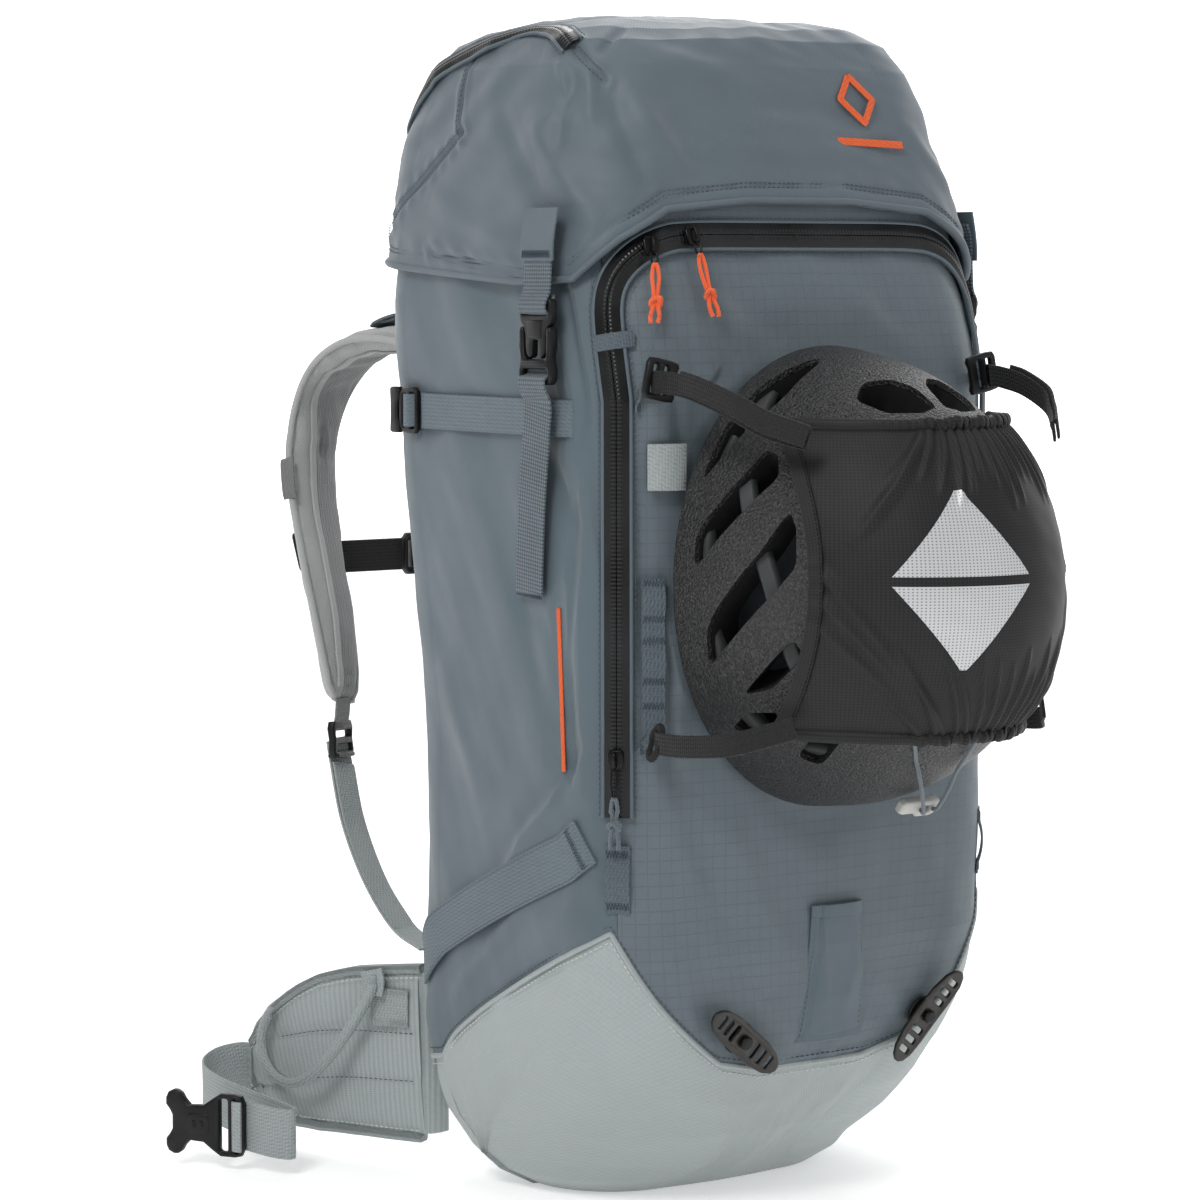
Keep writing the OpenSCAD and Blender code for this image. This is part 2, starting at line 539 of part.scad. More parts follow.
// Upper half of the male half's outline, from its slotted end to its forked end
buckle_half = [[0, 13], [2, 17.5], [6, 18.5], [15, 18.5], [26, 11], [35, 10.5], [40, 17], [45, 19], [50, 14],
    [50, 10], [46, 5]];
slot_h = 31;
module hip_buckle_male() {
    lower = [for (i = [len(buckle_half) - 1:-1:0]) [buckle_half[i][0], -buckle_half[i][1]]];
    color(black) translate(buckle_at) rotate([0, 0, buckle_turn]) rotate([90, 0, 0])
        linear_extrude(buckle_t, center = true) difference() {
            polygon(concat(buckle_half, lower));
            translate([3.4, -slot_h / 2]) square([3.4, slot_h]);
            translate([10.2, -slot_h / 2]) square([5.6, slot_h]);
        }
}
socket = [46, 12, 42];
socket_wall = 2.4;
socket_floor = 16;
module hip_buckle_female() {
    color(black) mirror([1, 0, 0]) translate(buckle_at) rotate([0, 0, buckle_turn]) difference() {
        translate([0, -socket[1] / 2, -socket[2] / 2]) cube(socket);
        translate([socket_floor, socket_wall - socket[1] / 2, socket_wall - socket[2] / 2])
            cube([socket[0], socket[1] - 2 * socket_wall, socket[2] - 2 * socket_wall]);
    }
}
// The left gear loop hangs clear of the fin's outer face
gear_loop_route = [[-138.7, 125.6, 109.1], [-141.6, 125.5, 99.9], [-150.6, 132.3, 80.4], [-159.1, 143.1, 61.2],
    [-165.4, 155.7, 47.9], [-169.9, 168.9, 42.0], [-173.6, 183.3, 45.3], [-174.5, 194.4, 56.7],
    [-172.9, 197.2, 69.3], [-168.7, 193.5, 82.7]];
gear_loop_r = 3.4;
module gear_loop_left() { color(pale) cord(gear_loop_route, gear_loop_r); }
module gear_loop_right() { mirror([1, 0, 0]) gear_loop_left(); }

// ---- Ice axe toggles and sleeve -----------------------------------------------------------------
// The two toggles do not sit evenly about the middle
axe_x = [-55, 74];
axe_z = 103;
axe_y = lookup(axe_z, front_t) - 3;
axe_tilt = 15;
toggle = [62, 3, 17];
module axe_toggle() {
    difference() {
        translate([-toggle[0] / 2, -toggle[1], -toggle[2] / 2]) cube(toggle);
        rotate([90, 0, 0]) translate([0, 0, -1]) cylinder(r = 2.3, h = 6, $fn = 32);
        for (x = [-22, -12, 12, 22]) translate([x - 2, -4, -5]) cube([4, 5, 10]);
    }
}
grommet_t = 1.6;
toggle_off = grommet_t + 1.6;
axe_turn = [38, -54];
module axe_place(i) {
    translate([axe_x[i], axe_y, axe_z]) rotate([axe_tilt, 0, 0]) children();
}
module placed_toggle(i) {
    color(gunmetal) axe_place(i) translate([0, -toggle_off, 0]) rotate([0, axe_turn[i], 0]) axe_toggle();
}
module axe_toggle_left() { placed_toggle(0); }
module axe_toggle_right() { placed_toggle(1); }
module axe_grommets() {
    color(black) for (i = [0, 1]) axe_place(i) rotate([90, 0, 0]) {
        translate([0, 0, -2]) cylinder(r = 9, h = grommet_t + 2, $fn = 48);
        cylinder(r = 2.2, h = toggle_off + toggle[1] + 1, $fn = 32);
        translate([0, 0, toggle_off + toggle[1] + 0.3]) cylinder(r = 4, h = 2.5, $fn = 32);
    }
}
module axe_sleeve() {
    color(slate_dark) slab([for (x = [-19, -9, 1, 11, 21]) [for (z = [95, 115, 135, 155, 172])
            [6 + x * (1.55 - z / 250), lookup(z, front_t) - crown - 5, z]]],
        [for (x = [-19, -9, 1, 11, 21]) [for (z = [95, 115, 135, 155, 172])
            [6 + x * (1.55 - z / 250), lookup(z, front_t) - crown - 1, z]]]);
}

// ---- Helmet and its carrier ----------------------------------------------------------------------
helmet_at = [-5, -126, 353];
// A point on the carried dome: g is 0 at the rim and 90 at the crown, h goes round
function dome(g, h, off) = helmet_at + [(helmet_half[0] + off) * cos(g) * cos(h),
    -(helmet_half[2] + off) * sin(g), (helmet_half[1] + off) * cos(g) * sin(h)];
module dome_shell(out, inn) {
    nh = 28;
    ng = 7;
    outer = [for (j = [0:ng]) for (i = [0:nh - 1]) dome(84 * j / ng, 360 * i / nh, out)];
    inner = [for (j = [0:ng]) for (i = [0:nh - 1]) dome(84 * j / ng, 360 * i / nh, inn)];
    n = nh * (ng + 1);
    function ring(j, i) = j * nh + i % nh;
    walls = [for (j = [0:ng - 1]) for (i = [0:nh - 1]) each [
        [ring(j, i), ring(j, i + 1), ring(j + 1, i)], [ring(j, i + 1), ring(j + 1, i + 1), ring(j + 1, i)],
        [n + ring(j, i), n + ring(j + 1, i), n + ring(j, i + 1)],
        [n + ring(j, i + 1), n + ring(j + 1, i), n + ring(j + 1, i + 1)]]];
    rim = [for (i = [0:nh - 1]) each [[ring(0, i), n + ring(0, i), ring(0, i + 1)],
        [ring(0, i + 1), n + ring(0, i), n + ring(0, i + 1)]]];
    tops = [for (i = [0:nh - 1]) each [[2 * n, ring(ng, i), ring(ng, i + 1)],
        [2 * n + 1, n + ring(ng, i + 1), n + ring(ng, i)]]];
    polyhedron(concat(outer, inner, [dome(90, 0, out), dome(90, 0, inn)]), concat(walls, rim, tops),
        convexity = 8);
}
module helmet_shell() { color([0.2, 0.2, 0.2]) dome_shell(0, -helmet_t); }
module helmet_liner() { color(black) dome_shell(-helmet_t - 0.4, -helmet_t - 20); }
module helmet_clip() { color(strap_grey) translate([-8, -198, 230]) cube([26, 14, 8]); }
net_off = 3;
module helmet_net() {
    ns = [for (a = steps(-62, 62, 12)) a];
    ts = [for (b = steps(-1, 1, 8)) b];
    function net_pt(a, b, off) =
        let(z = helmet_at[2] + 6 + 80 * b, v = (z - helmet_at[2]) / (helmet_half[1] + off), r = sqrt(1 - v * v))
        [helmet_at[0] + (helmet_half[0] + off) * r * sin(a) * 1.02,
        helmet_at[1] - (helmet_half[2] + off) * r * cos(a), z];
    color(black) slab([for (a = ns) [for (b = ts) net_pt(a, b, net_off + 1.2)]],
        [for (a = ns) [for (b = ts) net_pt(a, b, net_off)]]);
}
module net_straps() {
    color(black) both_sides_about(helmet_at[0]) {
        strip([[-101, -201, 436], [-110, -185, 447], [-115, -160, 456], [-116, -140, 459], [-114, -126, 460]],
            all_same([1, 2, 3, 4, 5], [0, 0.2, 1]), 12, web_t);
        strip([[-98, -196, 280], [-112, -180, 274], [-119, -155, 271], [-119, -135, 270], [-117, -123, 270]],
            all_same([1, 2, 3, 4, 5], [0, 0.2, 1]), 12, web_t);
    }
}
module both_sides_about(x) {
    children();
    translate([2 * x, 0, 0]) mirror([1, 0, 0]) children();
}
module net_locks() {
    color(black) both_sides_about(helmet_at[0]) translate([-108, -123.5, 460]) rotate([0, 12, 0])
        difference() {
        translate([-18, -3, -11]) cube([20, 4, 22]);
        translate([-14, -5, -7.5]) cube([3, 8, 15]);
        translate([-7, -5, -7.5]) cube([3, 8, 15]);
    }
}

back_panel();
frame_sheet();
frame_stays();
back_pads();
side_panel_left();
side_panel_right();
front_panel();
bottom_panel();
divider_panel();
storm_collar();
collar_cord();
cord_lock();
cord_lock_button();
front_zip();
zip_slider_top();
zip_pull_top();
zip_slider_corner();
zip_pull_corner();
zip_slider_lower();
zip_pull_lower();
lid_shell();
lid_floor();
lid_zip();
lid_zip_slider();
lid_straps();
lid_buckles_male();
lid_buckles_female();
lid_webbing();
upper_compression_webbing();
compression_hook_left();
compression_hook_right();
lower_compression_webbing();
front_loops();
shoulder_pad_left();
shoulder_pad_right();
load_lifters();
haul_loop();
lower_webbing();
strap_lock_left();
strap_lock_right();
sternum_webbing();
sternum_buckle();
hip_fin_left();
hip_fin_right();
hip_webbing_left();
hip_webbing_right();
hip_buckle_male();
hip_buckle_female();
gear_loop_left();
gear_loop_right();
axe_toggle_left();
axe_toggle_right();
axe_grommets();
axe_sleeve();
helmet_shell();
helmet_liner();
helmet_clip();
helmet_net();
net_straps();
net_locks();
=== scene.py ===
"""Ski-touring backpack with a carried helmet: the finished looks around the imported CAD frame."""
import math

import bmesh
import bpy
import numpy as np
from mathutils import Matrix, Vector
from mathutils.bvhtree import BVHTree
from mathutils.kdtree import KDTree


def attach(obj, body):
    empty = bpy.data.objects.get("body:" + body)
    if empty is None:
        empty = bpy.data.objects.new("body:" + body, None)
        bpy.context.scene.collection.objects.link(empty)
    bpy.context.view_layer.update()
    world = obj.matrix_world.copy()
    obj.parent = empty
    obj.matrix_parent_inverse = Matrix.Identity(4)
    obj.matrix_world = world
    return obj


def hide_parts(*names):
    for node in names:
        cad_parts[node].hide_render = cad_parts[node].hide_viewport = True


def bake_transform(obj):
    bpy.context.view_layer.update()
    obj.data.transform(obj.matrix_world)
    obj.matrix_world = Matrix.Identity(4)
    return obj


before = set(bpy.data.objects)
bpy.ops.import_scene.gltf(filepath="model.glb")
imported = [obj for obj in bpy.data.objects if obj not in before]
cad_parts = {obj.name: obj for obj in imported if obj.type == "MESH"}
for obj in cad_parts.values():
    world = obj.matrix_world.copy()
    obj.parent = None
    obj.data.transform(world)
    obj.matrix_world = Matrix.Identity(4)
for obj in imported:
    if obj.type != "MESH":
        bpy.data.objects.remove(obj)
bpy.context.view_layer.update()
MM = 0.001


# ---- Camera, light and floor -----------------------------------------------------------------------------
AIM = Vector((-0.045, 0.031, 0.331))
CAMERA_AZIMUTH = math.radians(-35)
CAMERA_ELEVATION = math.radians(5)
CAMERA_DISTANCE = 2.19
LENS_MM = 115
SENSOR_MM = 36
LAMP_AIM = Vector((0, 0, 0.33))


def add_camera():
    data = bpy.data.cameras.new("camera")
    data.lens = LENS_MM
    data.sensor_width = SENSOR_MM
    camera = bpy.data.objects.new("camera", data)
    flat = math.cos(CAMERA_ELEVATION)
    back = Vector((math.sin(CAMERA_AZIMUTH) * flat, -math.cos(CAMERA_AZIMUTH) * flat,
                   math.sin(CAMERA_ELEVATION)))
    camera.location = AIM + back * CAMERA_DISTANCE
    camera.rotation_euler = back.to_track_quat("Z", "Y").to_euler()
    bpy.context.collection.objects.link(camera)
    bpy.context.scene.camera = camera


def add_area(name, azimuth, elevation, distance, size, power):
    data = bpy.data.lights.new(name, "AREA")
    data.shape = "RECTANGLE"
    data.size, data.size_y = size
    data.energy = power
    lamp = bpy.data.objects.new(name, data)
    az, el = math.radians(azimuth), math.radians(elevation)
    back = Vector((math.sin(az) * math.cos(el), -math.cos(az) * math.cos(el), math.sin(el)))
    lamp.location = LAMP_AIM + back * distance
    lamp.rotation_euler = back.to_track_quat("Z", "Y").to_euler()
    bpy.context.collection.objects.link(lamp)


# name, azimuth and elevation in degrees, distance and size in metres, power in watts
LIGHTS = [("key", -62, 42, 2.6, (0.8, 0.8), 28),
          ("fill", 20, 20, 2.8, (1.6, 1.6), 6),
          ("rim", 135, 40, 2.4, (1.0, 1.6), 13),
          ("top", -20, 85, 2.2, (1.6, 1.0), 8)]
WORLD_STRENGTH = 0.35
PAPER = (0.93, 0.93, 0.93, 1)
WHITE = (1, 1, 1, 1)
FLOOR_HALF, FLOOR_DROP, FLOOR_GLOW = 12, 0.0006, 0.34
WALL_HALF, WALL_AWAY, WALL_LOW, WALL_HIGH, WALL_GLOW = 14, 5.5, -0.5, 11, 1.0


def add_paper(name, corners, glow, roughness=None):
    """A plane of lit paper, to stand under or behind the object."""
    mesh = bpy.data.meshes.new(name)
    mesh.from_pydata(corners, [], [(0, 1, 2, 3)])
    sheet = bpy.data.objects.new(name, mesh)
    bpy.context.collection.objects.link(sheet)
    material = bpy.data.materials.new(name + "_paper")
    material.use_nodes = True
    shader = material.node_tree.nodes["Principled BSDF"]
    shader.inputs["Base Color"].default_value = PAPER
    shader.inputs["Emission Color"].default_value = WHITE
    shader.inputs["Emission Strength"].default_value = glow
    if roughness is not None:
        shader.inputs["Roughness"].default_value = roughness
    mesh.materials.append(material)
    return sheet


def add_studio():
    bpy.context.scene.view_settings.view_transform = "Standard"
    world = bpy.data.worlds.new("studio")
    world.use_nodes = True
    background = world.node_tree.nodes["Background"]
    background.inputs["Color"].default_value = WHITE
    background.inputs["Strength"].default_value = WORLD_STRENGTH
    bpy.context.scene.world = world
    for light in LIGHTS:
        add_area(*light)
    h = FLOOR_HALF
    floor = add_paper("floor", [(-h, -h, 0), (h, -h, 0), (h, h, 0), (-h, h, 0)], FLOOR_GLOW, roughness=0.9)
    floor.location.z = -FLOOR_DROP
    low, high = ([(x, WALL_AWAY, z) for x in (-WALL_HALF, WALL_HALF)] for z in (WALL_LOW, WALL_HIGH))
    backdrop = add_paper("backdrop", low + high[::-1], WALL_GLOW)
    backdrop.rotation_euler.z = CAMERA_AZIMUTH


add_camera()
add_studio()


# ---- Materials -------------------------------------------------------------------------------------------
class Nodes:
    """A short way to build a material's node tree."""

    def __init__(self, name):
        self.material = bpy.data.materials.new(name)
        self.material.use_nodes = True
        self.tree = self.material.node_tree
        self.shader = self.tree.nodes["Principled BSDF"]

    def node(self, kind, **values):
        n = self.tree.nodes.new(kind)
        for key, value in values.items():
            setattr(n, key, value)
        return n

    def link(self, a, b):
        self.tree.links.new(a, b)

    def math(self, operation, a, b=None, c=None):
        n = self.node("ShaderNodeMath", operation=operation)
        for i, x in enumerate((a, b, c)):
            if x is None:
                continue
            if isinstance(x, (int, float)):
                n.inputs[i].default_value = x
            else:
                self.link(x, n.inputs[i])
        return n.outputs[0]

    def noise(self, scale, detail=3, vector=None, roughness=0.55):
        n = self.node("ShaderNodeTexNoise")
        n.inputs["Scale"].default_value = scale
        n.inputs["Detail"].default_value = detail
        n.inputs["Roughness"].default_value = roughness
        if vector is not None:
            self.link(vector, n.inputs["Vector"])
        return n.outputs["Fac"]

    def place(self):
        """Object coordinates, in metres."""
        return self.node("ShaderNodeTexCoord").outputs["Object"]

    def cloth(self):
        """Metres across and along the cloth, stored on every sewn mesh."""
        split = self.node("ShaderNodeSeparateXYZ")
        self.link(self.node("ShaderNodeAttribute", attribute_name="cloth").outputs["Vector"],
                  split.inputs[0])
        return split.outputs[0], split.outputs[1]

    def ramp(self, value, low, high, out_low=0.0, out_high=1.0):
        n = self.node("ShaderNodeMapRange")
        n.inputs["From Min"].default_value = low
        n.inputs["From Max"].default_value = high
        n.inputs["To Min"].default_value = out_low
        n.inputs["To Max"].default_value = out_high
        self.link(value, n.inputs["Value"])
        return n.outputs["Result"]

    def mix(self, factor, a, b):
        n = self.node("ShaderNodeMix", data_type="RGBA")
        self.link(factor, n.inputs["Factor"])
        for socket, x in ((n.inputs[6], a), (n.inputs[7], b)):
            if isinstance(x, tuple):
                socket.default_value = (*x, 1)
            else:
                self.link(x, socket)
        return n.outputs[2]

    def bump(self, height, distance, strength=1.0, normal=None):
        n = self.node("ShaderNodeBump")
        n.inputs["Strength"].default_value = strength
        n.inputs["Distance"].default_value = distance
        self.link(height, n.inputs["Height"])
        if normal is not None:
            self.link(normal, n.inputs["Normal"])
        return n.outputs["Normal"]

    def finish(self, colour=None, roughness=None, normal=None, **sockets):
        for socket, x in (("Base Color", colour), ("Roughness", roughness), ("Normal", normal)):
            if x is None:
                continue
            if isinstance(x, tuple):
                self.shader.inputs[socket].default_value = (*x, 1)
            elif isinstance(x, (int, float)):
                self.shader.inputs[socket].default_value = x
            else:
                self.link(x, self.shader.inputs[socket])
        for key, x in sockets.items():
            self.shader.inputs[key.replace("_", " ")].default_value = x
        return self.material


def srgb(r, g, b):
    def linear(c):
        c = c / 255
        return c / 12.92 if c <= 0.04045 else ((c + 0.055) / 1.055) ** 2.4
    return (linear(r), linear(g), linear(b))


def scaled(colour, k):
    return tuple(min(1.0, c * k) for c in colour)


def waves(m, coordinate, pitch):
    """A smooth 0-1 wave along one cloth coordinate."""
    s = m.math("SINE", m.math("MULTIPLY", coordinate, 2 * math.pi / pitch))
    return m.math("MULTIPLY_ADD", s, 0.5, 0.5)


def plain_weave(m, across, along, pitch):
    """Threads that pass over and under each other: a chequer of little domes."""
    a = m.math("SINE", m.math("MULTIPLY", across, math.pi / pitch))
    b = m.math("SINE", m.math("MULTIPLY", along, math.pi / pitch))
    return m.math("MULTIPLY_ADD", m.math("MULTIPLY", a, b), 0.5, 0.5)


def grid_lines(m, coordinate, pitch, width):
    """Thin raised threads at a pitch."""
    f = m.math("FRACT", m.math("DIVIDE", coordinate, pitch))
    return m.math("LESS_THAN", f, width / pitch)


def coated_fabric(name, colour, pitch=0.0009, grid=None, rough=0.56, weave_depth=0.00010, sheen=0.12,
                  variation=0.10):
    m = Nodes(name)
    across, along = m.cloth()
    place = m.place()
    weave = plain_weave(m, across, along, pitch)
    mottle = m.ramp(m.noise(9, 4, place), 0.3, 0.7)
    base = m.mix(mottle, scaled(colour, 1 - variation), scaled(colour, 1 + variation))
    fine = m.mix(weave, scaled(colour, 0.90), scaled(colour, 1.10))
    half = m.node("ShaderNodeMix", data_type="RGBA")
    half.inputs["Factor"].default_value = 0.4
    m.link(base, half.inputs[6])
    m.link(fine, half.inputs[7])
    tone = half.outputs[2]
    height = weave
    if grid:
        lines = m.math("MAXIMUM", grid_lines(m, across, grid, grid * 0.09),
                       grid_lines(m, along, grid, grid * 0.09))
        tone = m.mix(m.math("MULTIPLY", lines, 0.45), tone, scaled(colour, 0.72))
        height = m.math("ADD", weave, m.math("MULTIPLY", lines, 1.5))
    crumple = m.noise(55, 5, place, 0.6)
    normal = m.bump(height, weave_depth, 0.8, m.bump(crumple, 0.0010, 0.35))
    roughness = m.ramp(m.noise(30, 3, place), 0.3, 0.7, rough - 0.06, rough + 0.07)
    return m.finish(tone, roughness, normal, Sheen_Weight=sheen, Sheen_Roughness=0.5)


def woven_webbing(name, colour, rib=0.0016, rough=0.78):
    m = Nodes(name)
    across, along = m.cloth()
    place = m.place()
    ribs = waves(m, along, rib)
    columns = waves(m, across, 0.0021)
    twill = waves(m, m.math("ADD", across, m.math("MULTIPLY", along, 0.5)), 0.0024)
    height = m.math("ADD", m.math("MULTIPLY", ribs, columns), m.math("MULTIPLY", twill, 0.5))
    shade = m.ramp(height, 0.1, 1.3)
    wear = m.ramp(m.noise(28, 4, place), 0.35, 0.7)
    tone = m.mix(shade, scaled(colour, 0.74), scaled(colour, 1.14))
    tone = m.mix(m.math("MULTIPLY", wear, 0.2), tone, scaled(colour, 1.35))
    normal = m.bump(height, 0.00035, 1.0)
    return m.finish(tone, rough, normal, Sheen_Weight=0.08, Sheen_Roughness=0.4)


def block_weave(name, colour, pitch=0.0021):
    """Coarse webbing: rows of little raised blocks."""
    m = Nodes(name)
    across, along = m.cloth()
    place = m.place()
    blocks = m.math("MULTIPLY", m.ramp(waves(m, across, pitch), 0.15, 0.75),
                    m.ramp(waves(m, along, pitch), 0.15, 0.75))
    tone = m.mix(blocks, scaled(colour, 0.5), scaled(colour, 1.16))
    tone = m.mix(m.math("MULTIPLY", m.ramp(m.noise(40, 4, place), 0.35, 0.7), 0.2), tone, scaled(colour, 1.3))
    normal = m.bump(blocks, 0.0005, 1.0)
    return m.finish(tone, 0.78, normal, Sheen_Weight=0.2, Sheen_Roughness=0.4)


def ribbed_fabric(name, colour, rib=0.0032, rough=0.82, along_axis=True):
    """Belt and pad cloth with low ribs."""
    m = Nodes(name)
    across, along = m.cloth()
    place = m.place()
    ribs = waves(m, along if along_axis else across, rib)
    cross = waves(m, across if along_axis else along, 0.0013)
    height = m.math("ADD", ribs, m.math("MULTIPLY", cross, 0.35))
    tone = m.mix(m.ramp(height, 0.0, 1.3), scaled(colour, 0.84), scaled(colour, 1.08))
    tone = m.mix(m.math("MULTIPLY", m.ramp(m.noise(14, 4, place), 0.35, 0.7), 0.25), tone,
                 scaled(colour, 0.86))
    normal = m.bump(height, 0.0003, 0.9, m.bump(m.noise(70, 4, place), 0.0008, 0.3))
    return m.finish(tone, rough, normal, Sheen_Weight=0.3, Sheen_Roughness=0.45)


def twill_fabric(name, colour, pitch=0.0016, rough=0.85):
    m = Nodes(name)
    across, along = m.cloth()
    place = m.place()
    twill = waves(m, m.math("ADD", across, along), pitch)
    knit = waves(m, m.math("SUBTRACT", across, along), pitch * 1.7)
    height = m.math("ADD", twill, m.math("MULTIPLY", knit, 0.5))
    tone = m.mix(m.ramp(height, 0.0, 1.4), scaled(colour, 0.84), scaled(colour, 1.1))
    tone = m.mix(m.math("MULTIPLY", m.ramp(m.noise(16, 4, place), 0.3, 0.7), 0.3), tone, scaled(colour, 0.84))
    normal = m.bump(height, 0.0003, 0.8, m.bump(m.noise(60, 4, place), 0.0008, 0.35))
    return m.finish(tone, rough, normal, Sheen_Weight=0.35, Sheen_Roughness=0.4)


def moulded_plastic(name, colour, rough=0.42, grain=1.0):
    m = Nodes(name)
    place = m.place()
    fine = m.noise(900, 4, place)
    scuff = m.ramp(m.noise(60, 5, place), 0.45, 0.75)
    tone = m.mix(m.math("MULTIPLY", scuff, 0.35), colour, scaled(colour, 1.9))
    roughness = m.ramp(m.noise(140, 3, place), 0.3, 0.7, rough - 0.08, rough + 0.1)
    normal = m.bump(fine, 0.00005 * grain, 0.6)
    return m.finish(tone, roughness, normal, Specular_IOR_Level=0.3)


def metal_coat(name, colour, rough=0.38, metallic=0.85):
    m = Nodes(name)
    place = m.place()
    scuff = m.ramp(m.noise(120, 5, place), 0.5, 0.75)
    tone = m.mix(m.math("MULTIPLY", scuff, 0.4), colour, scaled(colour, 1.8))
    roughness = m.ramp(m.noise(220, 4, place), 0.3, 0.7, rough - 0.1, rough + 0.12)
    normal = m.bump(m.noise(700, 3, place), 0.00004, 0.6)
    return m.finish(tone, roughness, normal, Metallic=metallic)


def braided_cord(name, colour, pitch=0.0016):
    m = Nodes(name)
    across, along = m.cloth()
    a = waves(m, m.math("ADD", across, along), pitch)
    b = waves(m, m.math("SUBTRACT", across, along), pitch)
    height = m.math("MAXIMUM", a, b)
    tone = m.mix(height, scaled(colour, 0.6), scaled(colour, 1.1))
    normal = m.bump(height, 0.0003, 0.9)
    return m.finish(tone, 0.75, normal, Sheen_Weight=0.3)


def zip_tape(name):
    m = Nodes(name)
    across, along = m.cloth()
    place = m.place()
    lap = m.ramp(m.math("ABSOLUTE", across), 0.0, 0.0012)
    teeth = waves(m, along, 0.0022)
    near = m.math("LESS_THAN", m.math("ABSOLUTE", across), 0.0032)
    height = m.math("ADD", lap, m.math("MULTIPLY", m.math("MULTIPLY", teeth, near), 0.35))
    smear = m.ramp(m.noise(24, 4, place), 0.35, 0.7)
    tone = m.mix(m.math("MULTIPLY", smear, 0.5), srgb(12, 12, 13), srgb(42, 44, 46))
    normal = m.bump(height, 0.0005, 0.9)
    return m.finish(tone, m.ramp(smear, 0.0, 1.0, 0.24, 0.42), normal, Specular_IOR_Level=0.3)


def speckled_shell(name):
    m = Nodes(name)
    place = m.place()
    cell = m.node("ShaderNodeTexVoronoi")
    cell.inputs["Scale"].default_value = 620
    m.link(place, cell.inputs["Vector"])
    dots = m.ramp(cell.outputs["Distance"], 0.1, 0.62)
    fine = m.noise(900, 3, place, 0.6)
    height = m.math("ADD", dots, fine)
    tone = m.mix(m.ramp(m.noise(760, 2, place), 0.46, 0.66), srgb(20, 20, 21), srgb(58, 58, 58))
    normal = m.bump(height, 0.0006, 1.0)
    return m.finish(tone, m.ramp(fine, 0.3, 0.7, 0.3, 0.5), normal)


def stretch_mesh(name):
    m = Nodes(name)
    across, along = m.cloth()
    place = m.place()
    holes = m.math("MULTIPLY", waves(m, across, 0.0019), waves(m, along, 0.0016))
    tone = m.mix(m.ramp(holes, 0.2, 0.75), srgb(34, 34, 35), srgb(9, 9, 10))
    tone = m.mix(m.math("MULTIPLY", m.ramp(m.noise(40, 3, place), 0.3, 0.7), 0.25), tone, srgb(16, 16, 17))
    normal = m.bump(holes, 0.00035, -0.9)
    return m.finish(tone, 0.6, normal, Sheen_Weight=0.04, Sheen_Roughness=0.35, Specular_IOR_Level=0.3)


def reflective_print(name):
    m = Nodes(name)
    across, along = m.cloth()
    holes = m.math("MULTIPLY", waves(m, across, 0.0019), waves(m, along, 0.0016))
    tone = m.mix(m.ramp(holes, 0.35, 0.8), srgb(196, 197, 199), srgb(120, 121, 123))
    normal = m.bump(holes, 0.0003, -0.8)
    return m.finish(tone, 0.45, normal, Metallic=0.25)


SLATE = srgb(80, 94, 102)
MAT = {
    "body": coated_fabric("body_fabric", SLATE),
    "lid": coated_fabric("lid_fabric", srgb(84, 96, 104)),
    "ripstop": coated_fabric("ripstop_fabric", srgb(90, 102, 109), grid=0.0068),
    "bottom": coated_fabric("bottom_fabric", srgb(158, 165, 165), pitch=0.0017, rough=0.72,
                            weave_depth=0.00030,
                            variation=0.05),
    "back": ribbed_fabric("back_fabric", srgb(96, 104, 108), 0.0026),
    "pad": twill_fabric("pad_fabric", srgb(170, 171, 171)),
    "pad_inner": ribbed_fabric("pad_inner_fabric", srgb(122, 123, 124), 0.0024, along_axis=False),
    "belt": ribbed_fabric("belt_fabric", srgb(160, 167, 167)),
    "binding": woven_webbing("binding_tape", srgb(148, 156, 156), 0.0012),
    "webbing": woven_webbing("slate_webbing", srgb(84, 96, 104)),
    "pale_webbing": woven_webbing("pale_webbing", srgb(156, 163, 163)),
    "black_webbing": woven_webbing("black_webbing", srgb(17, 17, 18)),
    "orange": braided_cord("orange_cord", srgb(247, 98, 38)),
    "slate_cord": braided_cord("slate_cord", srgb(88, 100, 108)),
    "black_cord": braided_cord("black_cord", srgb(16, 16, 17)),
    "zip": zip_tape("zip_tape"),
    "plastic": moulded_plastic("black_plastic", srgb(13, 13, 14)),
    "pale_plastic": moulded_plastic("clip_plastic", srgb(176, 176, 173), 0.5),
    "grey_plastic": moulded_plastic("grey_plastic", srgb(58, 60, 61), 0.5),
    "lacquer": metal_coat("zip_lacquer", srgb(16, 16, 16), 0.3, 0.6),
    "gunmetal": metal_coat("gunmetal_coat", srgb(66, 65, 63)),
    "alloy": metal_coat("stay_alloy", srgb(200, 202, 205), 0.35, 1.0),
    "board": moulded_plastic("frame_board", srgb(30, 30, 31), 0.6),
    "helmet": speckled_shell("helmet_plastic"),
    "foam": moulded_plastic("helmet_foam", srgb(20, 20, 21), 0.85, 6.0),
    "net": stretch_mesh("net_fabric"),
    "reflective": reflective_print("reflective_print"),
    "thread": moulded_plastic("thread", srgb(70, 80, 87), 0.8),
    "block_webbing": block_weave("block_webbing", srgb(96, 109, 117)),
    "fine_webbing": woven_webbing("fine_webbing", srgb(100, 113, 121), 0.0011),
    "orange_thread": woven_webbing("orange_thread", srgb(240, 100, 42), 0.0007),
    "grey_webbing": woven_webbing("grey_webbing", srgb(120, 121, 121), 0.0011),
    "black_thread": moulded_plastic("black_thread", srgb(12, 12, 12), 0.8),
    "rubber": moulded_plastic("rim_rubber", srgb(32, 32, 33), 0.6),
    "thread_pale": moulded_plastic("thread_pale", srgb(190, 196, 194), 0.8),
}


